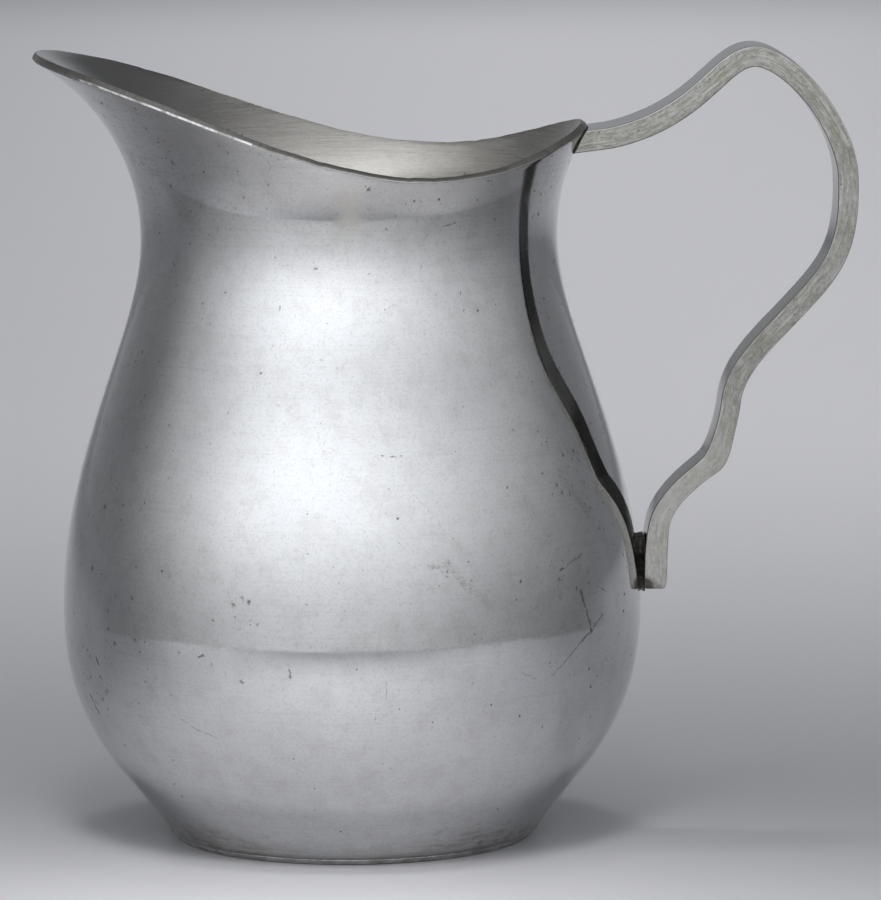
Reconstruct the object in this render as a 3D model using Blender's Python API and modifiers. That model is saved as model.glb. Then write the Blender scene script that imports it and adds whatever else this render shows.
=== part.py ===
"""Pewter creamer: a turned jug body with a flared pouring mouth, a soldered base plate and a bent strap handle.

Metres, +Z up. The origin is the centre of the base's underside, the pouring lip points to -X and the handle to +X.
"""

import math

import bmesh
import bpy
import numpy as np

MM = 0.001

# ------------------------------------------------------------------ driving dimensions, in millimetres

OBJECT = "pewter_creamer"

# Outside of the turned body: height above the base's underside, radius.
BODY_STATIONS = (
    (0.0, 24.6),
    (4.0, 27.3),
    (10.0, 32.2),
    (18.0, 36.9),
    (32.0, 39.3),
    (50.0, 36.8),
    (66.0, 31.7),
    (80.0, 28.3),
    (92.0, 30.1),
    (101.0, 35.8),
    (106.0, 42.1),
    (109.5, 48.8),
)
WALL = 1.1
FOOT_Z = 1.1  # lower edge of the wall, a hair above the base plate
NECK_Z = 80.0  # below this the wall is a plain turned surface

# Side view of the rim: distance from the axis towards the handle, height.
RIM_STATIONS = (
    (-44.0, 106.6),
    (-33.0, 103.8),
    (-20.0, 99.4),
    (-8.0, 95.3),
    (4.0, 92.5),
    (16.0, 92.0),
    (26.0, 94.1),
    (33.0, 97.0),
)

BASE_T = 0.8
BASE_R_LOW = 24.4
BASE_R_TOP = 24.9
BASE_EDGE = 0.2

# Section of the solder ring in the corner between base plate and wall: radius, height.
SEAM_SECTION = ((24.35, 2.35), (23.95, 1.1), (21.8, 1.1), (23.2, 1.45))

# Centre line of the strap in side view: x, z, heading in degrees, reach of the handles before and after.
HANDLE_PATH = (
    (29.5, 94.8, -2.0, 0.0, 6.0),
    (46.8, 100.7, 39.0, 6.6, 4.5),
    (54.8, 106.1, 0.0, 2.7, 4.2),
    (67.4, 89.4, -88.0, 8.0, 10.0),
    (60.2, 71.6, -133.0, 7.0, 5.0),
    (51.5, 59.0, -96.0, 5.0, 1.8),
    (49.2, 51.0, -132.0, 1.3, 1.3),
    (41.9, 42.5, -100.0, 4.2, 2.0),
    (41.5, 33.6, -90.0, 3.0, 0.0),
)
HANDLE_T = 2.75  # thickness in side view
HANDLE_W_TOP = 10.8  # width across, at the rim
HANDLE_W_END = 7.4  # width across, at the lower tab
HANDLE_EDGE = 0.25
HANDLE_STEPS = 7  # straight runs between two points of the centre line

GAP = 0.25  # left between neighbours for the solder to wet
SOLDER_T = 0.65  # thickness of the upper solder
UPPER_PAD = (94.6, 4.2, 11.8)  # centre height, height and width of the upper solder
LOWER_PAD = (38.0, 8.0, 7.0)  # centre height, height and width of the lower solder
PAD_EDGE = 0.2

TURN_STEPS = 64
ROWS_NECK = 8
ROWS_BELLY = 14


# ------------------------------------------------------------------ helpers


def natural_spline(stations):
    """A natural cubic spline through the stations, as two functions: its value and its slope."""
    x = np.array([s[0] for s in stations], dtype=float)
    y = np.array([s[1] for s in stations], dtype=float)
    h = np.diff(x)
    count = len(x)
    rows = np.eye(count)
    right = np.zeros(count)
    for i in range(1, count - 1):
        rows[i, i - 1 : i + 2] = h[i - 1], 2.0 * (h[i - 1] + h[i]), h[i]
        right[i] = 6.0 * ((y[i + 1] - y[i]) / h[i] - (y[i] - y[i - 1]) / h[i - 1])
    bend = np.linalg.solve(rows, right)

    def span(t):
        return int(min(max(np.searchsorted(x, t) - 1, 0), count - 2))

    def value(t):
        i = span(t)
        a, b = x[i + 1] - t, t - x[i]
        cubic = (bend[i] * a**3 + bend[i + 1] * b**3) / (6.0 * h[i])
        return cubic + (y[i] / h[i] - bend[i] * h[i] / 6.0) * a + (y[i + 1] / h[i] - bend[i + 1] * h[i] / 6.0) * b

    def slope(t):
        i = span(t)
        a, b = x[i + 1] - t, t - x[i]
        quad = (bend[i + 1] * b**2 - bend[i] * a**2) / (2.0 * h[i])
        return quad + (y[i + 1] - y[i]) / h[i] - (bend[i + 1] - bend[i]) * h[i] / 6.0

    return value, slope


radius, radius_slope = natural_spline(BODY_STATIONS)
rim_side, _ = natural_spline(RIM_STATIONS)


def rim_height(angle):
    """Height where the turned wall meets the rim line at this angle round the axis, found by halving."""
    low, high = NECK_Z, BODY_STATIONS[-1][0]
    for _ in range(50):
        mid = 0.5 * (low + high)
        if mid < rim_side(radius(mid) * math.cos(angle)):
            low = mid
        else:
            high = mid
    return 0.5 * (low + high)


def offset_radius(z, gap):
    """Radius of a surface that lies this far outside the wall."""
    return radius(z) + gap * math.hypot(1.0, radius_slope(z))


def material(name, colour, roughness, metallic=1.0):
    made = bpy.data.materials.new(name)
    made.use_nodes = True
    shader = made.node_tree.nodes["Principled BSDF"]
    shader.inputs["Base Color"].default_value = (*colour, 1.0)
    shader.inputs["Roughness"].default_value = roughness
    shader.inputs["Metallic"].default_value = metallic
    made.diffuse_color = (*colour, 1.0)
    return made


def collection(name):
    made = bpy.data.collections.new(name)
    bpy.context.scene.collection.children.link(made)
    return made


def place(obj, home, finish=None):
    for old in list(obj.users_collection):
        old.objects.unlink(obj)
    home.objects.link(obj)
    if finish is not None:
        obj.data.materials.clear()
        obj.data.materials.append(finish)
    return obj


def smooth(obj, degrees=35.0):
    obj.data.shade_smooth()
    obj.data.set_sharp_from_angle(angle=math.radians(degrees))


def profile_object(name, points, closed=False):
    """A line of (radius, height) points at +X, ready to be turned about Z."""
    mesh = bpy.data.meshes.new(name)
    edges = [(i, i + 1) for i in range(len(points) - 1)]
    if closed:
        edges.append((len(points) - 1, 0))
    mesh.from_pydata([(r * MM, 0.0, z * MM) for r, z in points], edges, [])
    return bpy.data.objects.new(name, mesh)


def turn(obj, steps=TURN_STEPS):
    screw = obj.modifiers.new("turn", "SCREW")
    screw.axis = "Z"
    screw.angle = math.tau
    screw.steps = steps
    screw.render_steps = steps
    screw.use_merge_vertices = True
    screw.merge_threshold = 0.00001
    screw.use_smooth_shade = True
    return screw


def as_mesh(obj, home):
    """Replaces an object by the mesh that its modifiers or its curve make, at the same place."""
    bpy.context.view_layer.update()
    graph = bpy.context.evaluated_depsgraph_get()
    mesh = bpy.data.meshes.new_from_object(obj.evaluated_get(graph))
    mesh.transform(obj.matrix_world)
    name = obj.name
    bpy.data.objects.remove(obj)
    made = bpy.data.objects.new(name, mesh)
    home.objects.link(made)
    return made


def cut(obj, tool, operation="DIFFERENCE"):
    boolean = obj.modifiers.new(operation.lower(), "BOOLEAN")
    boolean.operation = operation
    boolean.solver = "EXACT"
    boolean.object = tool


def bevel(obj, width, segments=1, degrees=40.0):
    made = obj.modifiers.new("edges", "BEVEL")
    made.width = width * MM
    made.segments = segments
    made.limit_method = "ANGLE"
    made.angle_limit = math.radians(degrees)
    return made


# ------------------------------------------------------------------ start

for old in list(bpy.data.objects):
    bpy.data.objects.remove(old)

PARTS = collection(OBJECT)
CUTTERS = collection("cutters")


def cutter(obj):
    obj.hide_render = True
    obj.display_type = "WIRE"
    return obj


def turned_cutter(name, gap, low, high, rows=24):
    """A solid that fills the body out to a surface this far outside its wall."""
    heights = np.linspace(high, low, rows)
    points = [(0.0, high)] + [(offset_radius(z, gap), z) for z in heights] + [(0.0, low)]
    obj = profile_object(name, points)
    CUTTERS.objects.link(obj)
    turn(obj, 128)
    return cutter(as_mesh(obj, CUTTERS))


# ------------------------------------------------------------------ body

pewter_body = material("pewter_body", (0.60, 0.61, 0.62), 0.16)

RIM_REFERENCE = 100.0
heights = np.concatenate(
    [np.linspace(RIM_REFERENCE, NECK_Z, ROWS_NECK + 1), np.linspace(NECK_Z, FOOT_Z, ROWS_BELLY + 1)[1:]]
)
body = profile_object("body_shell", [(radius(z), z) for z in heights])
PARTS.objects.link(body)
turn(body)
body = as_mesh(body, PARTS)

# Above the neck the rows are stretched along the wall until the top one lies on the rim line.
shape = bmesh.new()
shape.from_mesh(body.data)
for vert in shape.verts:
    z = vert.co.z / MM
    if z > NECK_Z + 0.001:
        angle = math.atan2(vert.co.y, vert.co.x)
        share = (z - NECK_Z) / (RIM_REFERENCE - NECK_Z)
        z = NECK_Z + share * (rim_height(angle) - NECK_Z)
        r = radius(z)
        vert.co = (r * math.cos(angle) * MM, r * math.sin(angle) * MM, z * MM)
shape.to_mesh(body.data)
shape.free()
smooth(body)
place(body, PARTS, pewter_body)
wall = body.modifiers.new("wall", "SOLIDIFY")
wall.thickness = WALL * MM
wall.offset = -1.0
wall.use_even_offset = True
wall.use_rim = True

# ------------------------------------------------------------------ base plate and its solder ring

pewter_base = material("pewter_base", (0.52, 0.53, 0.53), 0.30)
bpy.ops.mesh.primitive_cone_add(
    vertices=TURN_STEPS,
    radius1=BASE_R_LOW * MM,
    radius2=BASE_R_TOP * MM,
    depth=BASE_T * MM,
    location=(0.0, 0.0, 0.5 * BASE_T * MM),
)
base = bpy.context.object
base.name = "base_disc"
base.data.name = "base_disc"
place(base, PARTS, pewter_base)
smooth(base)
bevel(base, BASE_EDGE)

solder_grey = material("solder_base", (0.40, 0.40, 0.39), 0.45)
seam = profile_object("base_solder_seam", SEAM_SECTION, closed=True)
place(seam, PARTS, solder_grey)
turn(seam)

# ------------------------------------------------------------------ handle

pewter_handle = material("pewter_handle", (0.54, 0.54, 0.51), 0.34)
path = bpy.data.curves.new("handle", "CURVE")
path.dimensions = "2D"
path.fill_mode = "NONE"
path.resolution_u = HANDLE_STEPS
path.extrude = 0.5 * HANDLE_W_TOP * MM
line = path.splines.new("BEZIER")
line.bezier_points.add(len(HANDLE_PATH) - 1)
line.radius_interpolation = "LINEAR"
run = [0.0]
for before, after in zip(HANDLE_PATH, HANDLE_PATH[1:]):
    run.append(run[-1] + math.hypot(after[0] - before[0], after[1] - before[1]))
for point, along, (x, z, heading, reach_in, reach_out) in zip(line.bezier_points, run, HANDLE_PATH):
    towards = (math.cos(math.radians(heading)), math.sin(math.radians(heading)))
    point.handle_left_type = point.handle_right_type = "FREE"
    point.co = (x * MM, z * MM, 0.0)
    point.handle_left = ((x - reach_in * towards[0]) * MM, (z - reach_in * towards[1]) * MM, 0.0)
    point.handle_right = ((x + reach_out * towards[0]) * MM, (z + reach_out * towards[1]) * MM, 0.0)
    point.radius = 1.0 + (HANDLE_W_END / HANDLE_W_TOP - 1.0) * along / run[-1]
handle = bpy.data.objects.new("handle", path)
PARTS.objects.link(handle)
handle.rotation_euler = (math.radians(90.0), 0.0, 0.0)
handle = as_mesh(handle, PARTS)
place(handle, PARTS, pewter_handle)
strap = handle.modifiers.new("strap", "SOLIDIFY")
strap.thickness = HANDLE_T * MM
strap.offset = 0.0
strap.use_even_offset = True
bevel(handle, HANDLE_EDGE)
smooth(handle)
# The strap's upper end is shaped to the back of the neck and leaves room for its solder.
cut(handle, turned_cutter("handle_end_cutter", 2 * GAP + SOLDER_T, 86.0, 102.0))

# ------------------------------------------------------------------ solder at both ends of the handle

clear_of_wall = turned_cutter("wall_clearance_cutter", GAP, 26.0, 104.0, rows=60)

solder_upper = material("solder_upper", (0.30, 0.30, 0.29), 0.50)
centre, high, wide = UPPER_PAD
bpy.ops.mesh.primitive_cube_add(size=1.0, location=(31.5 * MM, 0.0, centre * MM))
upper = bpy.context.object
upper.name = "handle_upper_solder"
upper.data.name = "handle_upper_solder"
upper.data.transform(((8.0 * MM, 0, 0, 0), (0, wide * MM, 0, 0), (0, 0, high * MM, 0), (0, 0, 0, 1)))
place(upper, PARTS, solder_upper)
bevel(upper, 0.6)
cut(upper, turned_cutter("upper_solder_cutter", GAP + SOLDER_T, 88.0, 101.0), "INTERSECT")
cut(upper, clear_of_wall)

solder_lower = material("solder_lower", (0.26, 0.26, 0.25), 0.55)
centre, high, wide = LOWER_PAD
tab_face = HANDLE_PATH[-1][0] - 0.5 * HANDLE_T - GAP
bpy.ops.mesh.primitive_cube_add(size=1.0, location=((tab_face - 2.0) * MM, 0.0, centre * MM))
lower = bpy.context.object
lower.name = "handle_lower_solder"
lower.data.name = "handle_lower_solder"
lower.data.transform(((4.0 * MM, 0, 0, 0), (0, wide * MM, 0, 0), (0, 0, high * MM, 0), (0, 0, 0, 1)))
place(lower, PARTS, solder_lower)
bevel(lower, PAD_EDGE)
cut(lower, clear_of_wall)
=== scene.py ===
"""Looks of the pewter creamer: fine meshes and finishes for its six pieces, a pale floor, soft light and the camera."""

import math

import bpy
import numpy as np
from mathutils import Matrix, Vector


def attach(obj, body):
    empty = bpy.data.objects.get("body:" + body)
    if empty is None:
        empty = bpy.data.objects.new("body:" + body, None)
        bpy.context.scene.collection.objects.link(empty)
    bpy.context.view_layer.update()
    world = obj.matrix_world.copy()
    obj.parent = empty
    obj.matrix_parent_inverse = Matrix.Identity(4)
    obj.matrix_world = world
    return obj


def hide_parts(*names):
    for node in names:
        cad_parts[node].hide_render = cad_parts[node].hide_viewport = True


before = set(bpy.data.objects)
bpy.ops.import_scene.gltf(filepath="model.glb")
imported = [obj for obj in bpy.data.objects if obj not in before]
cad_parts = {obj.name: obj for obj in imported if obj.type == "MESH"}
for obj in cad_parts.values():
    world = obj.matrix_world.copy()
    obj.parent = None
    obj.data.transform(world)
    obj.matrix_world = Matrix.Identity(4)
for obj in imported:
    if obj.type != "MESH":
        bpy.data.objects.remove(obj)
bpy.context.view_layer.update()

MM = 0.001

# ------------------------------------------------------------------ dimensions, in millimetres, as in the construction

BODY_STATIONS = (
    (0.0, 24.6),
    (4.0, 27.3),
    (10.0, 32.2),
    (18.0, 36.9),
    (32.0, 39.3),
    (50.0, 36.8),
    (66.0, 31.7),
    (80.0, 28.3),
    (92.0, 30.1),
    (101.0, 35.8),
    (106.0, 42.1),
    (109.5, 48.8),
)
WALL = 1.1
FOOT_Z = 0.87
NECK_Z = 80.0
RIM_STATIONS = (
    (-44.0, 106.6),
    (-33.0, 103.8),
    (-20.0, 99.4),
    (-8.0, 95.3),
    (4.0, 92.5),
    (16.0, 92.0),
    (26.0, 94.1),
    (33.0, 97.0),
)
BASE_T = 0.8
BASE_R_LOW = 24.4
BASE_R_TOP = 24.9
SEAM_SECTION = ((24.35, 2.35), (23.95, 1.0), (21.8, 0.86), (23.2, 1.45))
HANDLE_PATH = (
    (29.5, 94.8, -2.0, 0.0, 6.0),
    (46.8, 100.7, 39.0, 6.6, 4.5),
    (54.8, 106.1, 0.0, 2.7, 4.2),
    (67.4, 89.4, -88.0, 8.0, 10.0),
    (60.2, 71.6, -133.0, 7.0, 5.0),
    (51.5, 59.0, -96.0, 5.0, 1.8),
    (49.2, 51.0, -132.0, 1.3, 1.3),
    (41.9, 42.5, -100.0, 4.2, 2.0),
    (41.5, 33.6, -90.0, 3.0, 0.0),
)
HANDLE_T_TOP = 2.86
HANDLE_T_END = 2.64
HANDLE_W_TOP = 10.8
HANDLE_W_END = 7.4

COLUMNS = 384


# ------------------------------------------------------------------ curves and meshes


def natural_spline(stations):
    """A natural cubic spline through the stations, as two functions of an array: its value and its slope."""
    x = np.array([s[0] for s in stations], dtype=float)
    y = np.array([s[1] for s in stations], dtype=float)
    h = np.diff(x)
    count = len(x)
    rows = np.eye(count)
    right = np.zeros(count)
    for i in range(1, count - 1):
        rows[i, i - 1 : i + 2] = h[i - 1], 2.0 * (h[i - 1] + h[i]), h[i]
        right[i] = 6.0 * ((y[i + 1] - y[i]) / h[i] - (y[i] - y[i - 1]) / h[i - 1])
    bend = np.linalg.solve(rows, right)

    def parts(t):
        i = np.clip(np.searchsorted(x, t) - 1, 0, count - 2)
        return i, x[i + 1] - t, t - x[i]

    def value(t):
        i, a, b = parts(np.asarray(t, float))
        cubic = (bend[i] * a**3 + bend[i + 1] * b**3) / (6.0 * h[i])
        return cubic + (y[i] / h[i] - bend[i] * h[i] / 6.0) * a + (y[i + 1] / h[i] - bend[i + 1] * h[i] / 6.0) * b

    def slope(t):
        i, a, b = parts(np.asarray(t, float))
        quad = (bend[i + 1] * b**2 - bend[i] * a**2) / (2.0 * h[i])
        return quad + (y[i + 1] - y[i]) / h[i] - (bend[i + 1] - bend[i]) * h[i] / 6.0

    return value, slope


radius, radius_slope = natural_spline(BODY_STATIONS)
rim_side, _ = natural_spline(RIM_STATIONS)


def rim_height(angle):
    """Height where the turned wall meets the rim line at these angles round the axis, found by halving."""
    low = np.full(np.shape(angle), NECK_Z)
    high = np.full(np.shape(angle), BODY_STATIONS[-1][0])
    for _ in range(50):
        mid = 0.5 * (low + high)
        below = mid < rim_side(radius(mid) * np.cos(angle))
        low, high = np.where(below, mid, low), np.where(below, high, mid)
    return 0.5 * (low + high)


def waves(seed, count, longest, shortest):
    """A smooth bumpy function of a point in millimetres, about -1 to 1: a sum of seeded plane waves."""
    rng = np.random.default_rng(seed)
    length = np.exp(rng.uniform(np.log(shortest), np.log(longest), count))
    way = rng.normal(size=(count, 3))
    way *= (2.0 * np.pi / length / np.linalg.norm(way, axis=1))[:, None]
    phase = rng.uniform(0.0, 2.0 * np.pi, count)

    def value(points):
        return np.sin(points @ way.T + phase).sum(axis=-1) / math.sqrt(count * 2.0)

    return value


def outward(z):
    """Unit outward normal of the turned wall, as (radial, axial) parts."""
    s = radius_slope(z)
    n = np.sqrt(1.0 + s * s)
    return 1.0 / n, -s / n


def make_object(name, verts, faces, groups, finishes, maps=None):
    """A mesh object from points in millimetres. groups holds a finish number for each face, maps holds per-corner UVs."""
    mesh = bpy.data.meshes.new(name)
    mesh.from_pydata((np.asarray(verts) * MM).tolist(), [], faces)
    for finish in finishes:
        mesh.materials.append(finish)
    mesh.polygons.foreach_set("material_index", np.asarray(groups, dtype=np.int32))
    mesh.polygons.foreach_set("use_smooth", np.ones(len(mesh.polygons), dtype=bool))
    for title, uv in (maps or {}).items():
        layer = mesh.uv_layers.new(name=title)
        layer.data.foreach_set("uv", np.asarray(uv, dtype=np.float32).ravel())
    mesh.update()
    mesh.validate()
    made = bpy.data.objects.new(name, mesh)
    bpy.context.scene.collection.objects.link(made)
    return made


def ring_faces(rows, columns, close_rows=False):
    """Quads of a grid that closes round its columns; row r, column c is point r * columns + c."""
    faces, spots = [], []
    for r in range(rows if close_rows else rows - 1):
        up = (r + 1) % rows
        for c in range(columns):
            nxt = (c + 1) % columns
            faces.append((r * columns + c, r * columns + nxt, up * columns + nxt, up * columns + c))
            spots.append((r, c))
    return faces, spots


# ------------------------------------------------------------------ material nodes


class Nodes:
    """Small helpers to write a node tree as formulas."""

    def __init__(self, tree):
        self.tree = tree

    def new(self, kind, **settings):
        made = self.tree.nodes.new(kind)
        for key, value in settings.items():
            setattr(made, key, value)
        return made

    def put(self, socket, value):
        if isinstance(value, bpy.types.NodeSocket):
            self.tree.links.new(value, socket)
        elif value is not None:
            socket.default_value = value

    def math(self, operation, a, b=None, c=None, clamp=False):
        made = self.new("ShaderNodeMath", operation=operation, use_clamp=clamp)
        for socket, value in zip(made.inputs, (a, b, c)):
            self.put(socket, value)
        return made.outputs[0]

    def add(self, a, b):
        return self.math("ADD", a, b)

    def sub(self, a, b):
        return self.math("SUBTRACT", a, b)

    def mul(self, a, b):
        return self.math("MULTIPLY", a, b)

    def vec(self, operation, a, b=None, scale=None):
        made = self.new("ShaderNodeVectorMath", operation=operation)
        self.put(made.inputs[0], a)
        if b is not None:
            self.put(made.inputs[1], b)
        if scale is not None:
            self.put(made.inputs["Scale"], scale)
        return made.outputs["Value"] if operation in ("LENGTH", "DOT_PRODUCT", "DISTANCE") else made.outputs[0]

    def split(self, vector):
        made = self.new("ShaderNodeSeparateXYZ")
        self.put(made.inputs[0], vector)
        return made.outputs[0], made.outputs[1], made.outputs[2]

    def join(self, x, y, z):
        made = self.new("ShaderNodeCombineXYZ")
        for socket, value in zip(made.inputs, (x, y, z)):
            self.put(socket, value)
        return made.outputs[0]

    def turned(self, vector, degrees, scale):
        """The vector turned about its axes and then scaled, so that a pattern runs along a chosen direction."""
        made = self.new("ShaderNodeVectorRotate", rotation_type="EULER_XYZ")
        self.put(made.inputs["Vector"], vector)
        made.inputs["Rotation"].default_value = [math.radians(d) for d in degrees]
        return self.vec("MULTIPLY", made.outputs[0], scale)

    def noise(self, vector, scale=1.0, detail=2.0, rough=0.5, distortion=0.0):
        made = self.new("ShaderNodeTexNoise", noise_dimensions="3D")
        self.put(made.inputs["Vector"], vector)
        made.inputs["Scale"].default_value = scale
        made.inputs["Detail"].default_value = detail
        made.inputs["Roughness"].default_value = rough
        made.inputs["Distortion"].default_value = distortion
        return made.outputs[0]

    def noise1(self, w, scale=1.0, detail=2.0, rough=0.5):
        made = self.new("ShaderNodeTexNoise", noise_dimensions="1D")
        self.put(made.inputs["W"], w)
        made.inputs["Scale"].default_value = scale
        made.inputs["Detail"].default_value = detail
        made.inputs["Roughness"].default_value = rough
        return made.outputs[0]

    def cells(self, vector, scale=1.0, randomness=1.0):
        """Distance to the nearest cell point, and that cell's own random number."""
        made = self.new("ShaderNodeTexVoronoi", voronoi_dimensions="3D", feature="F1")
        self.put(made.inputs["Vector"], vector)
        made.inputs["Scale"].default_value = scale
        made.inputs["Randomness"].default_value = randomness
        parted = self.new("ShaderNodeSeparateColor")
        self.put(parted.inputs[0], made.outputs["Color"])
        return made.outputs["Distance"], parted.outputs[0], parted.outputs[1]

    def ramp(self, value, low, high, to_low=0.0, to_high=1.0, smooth=True):
        made = self.new("ShaderNodeMapRange", interpolation_type="SMOOTHSTEP" if smooth else "LINEAR")
        for key, given in (("Value", value), ("From Min", low), ("From Max", high), ("To Min", to_low), ("To Max", to_high)):
            self.put(made.inputs[key], given)
        return made.outputs[0]

    def mix(self, factor, a, b):
        made = self.new("ShaderNodeMix", data_type="RGBA", blend_type="MIX")
        for socket, value in ((made.inputs[0], factor), (made.inputs[6], a), (made.inputs[7], b)):
            if isinstance(value, tuple):
                value = (*value, 1.0) if len(value) == 3 else value
            self.put(socket, value)
        return made.outputs[2]

    def blend(self, factor, a, b):
        made = self.new("ShaderNodeMix", data_type="FLOAT")
        for socket, value in ((made.inputs[0], factor), (made.inputs[2], a), (made.inputs[3], b)):
            self.put(socket, value)
        return made.outputs[0]

    def bump(self, height, distance, normal=None, strength=1.0):
        made = self.new("ShaderNodeBump")
        self.put(made.inputs["Height"], height)
        made.inputs["Strength"].default_value = strength
        made.inputs["Distance"].default_value = distance
        if normal is not None:
            self.put(made.inputs["Normal"], normal)
        return made.outputs[0]

    def most(self, *values):
        found = values[0]
        for value in values[1:]:
            found = self.math("MAXIMUM", found, value)
        return found


def start_material(name):
    made = bpy.data.materials.new(name)
    made.use_nodes = True
    tree = made.node_tree
    shader = tree.nodes["Principled BSDF"]
    shader.inputs["Metallic"].default_value = 1.0
    nodes = Nodes(tree)
    coordinates = nodes.new("ShaderNodeTexCoord")
    place = nodes.vec("SCALE", coordinates.outputs["Object"], scale=1000.0)  # millimetres
    return made, nodes, shader, place


def segment_group():
    """Node group: distance in millimetres from a point to a straight scratch between A and B."""
    tree = bpy.data.node_groups.new("scratch_distance", "ShaderNodeTree")
    for title in ("Point", "A", "Along"):
        tree.interface.new_socket(title, in_out="INPUT", socket_type="NodeSocketVector")
    tree.interface.new_socket("Inverse", in_out="INPUT", socket_type="NodeSocketFloat")
    tree.interface.new_socket("Distance", in_out="OUTPUT", socket_type="NodeSocketFloat")
    nodes = Nodes(tree)
    into, out = nodes.new("NodeGroupInput"), nodes.new("NodeGroupOutput")
    point, start, along, inverse = (into.outputs[i] for i in range(4))
    gone = nodes.vec("SUBTRACT", point, start)
    share = nodes.math("MULTIPLY", nodes.vec("DOT_PRODUCT", gone, along), inverse, clamp=True)
    nodes.put(out.inputs[0], nodes.vec("LENGTH", nodes.vec("SUBTRACT", gone, nodes.vec("SCALE", along, scale=share))))
    return tree


SCRATCH = segment_group()


def scratch_marks(nodes, point, marks, breakup=None):
    """Greatest strength of a set of scratches. Each is (a, b, width, strength), with a and b in the same plane as point."""
    found = 0.0
    for a, b, width, strength in marks:
        made = nodes.new("ShaderNodeGroup")
        made.node_tree = SCRATCH
        nodes.put(made.inputs[0], point)
        along = (b[0] - a[0], b[1] - a[1], 0.0)
        made.inputs[1].default_value = (a[0], a[1], 0.0)
        made.inputs[2].default_value = along
        made.inputs[3].default_value = 1.0 / max(along[0] ** 2 + along[1] ** 2, 1e-6)
        distance = made.outputs[0] if breakup is None else nodes.add(made.outputs[0], breakup)
        found = nodes.math("MAXIMUM", found, nodes.ramp(distance, width, 0.35 * width, 0.0, strength))
    return found


# ------------------------------------------------------------------ finishes

BELLY_ARC = 36.0  # millimetres of wall per radian, where marks are placed by angle and height


def wall_spot(degrees, z):
    return (math.radians(degrees) * BELLY_ARC, z)


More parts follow.
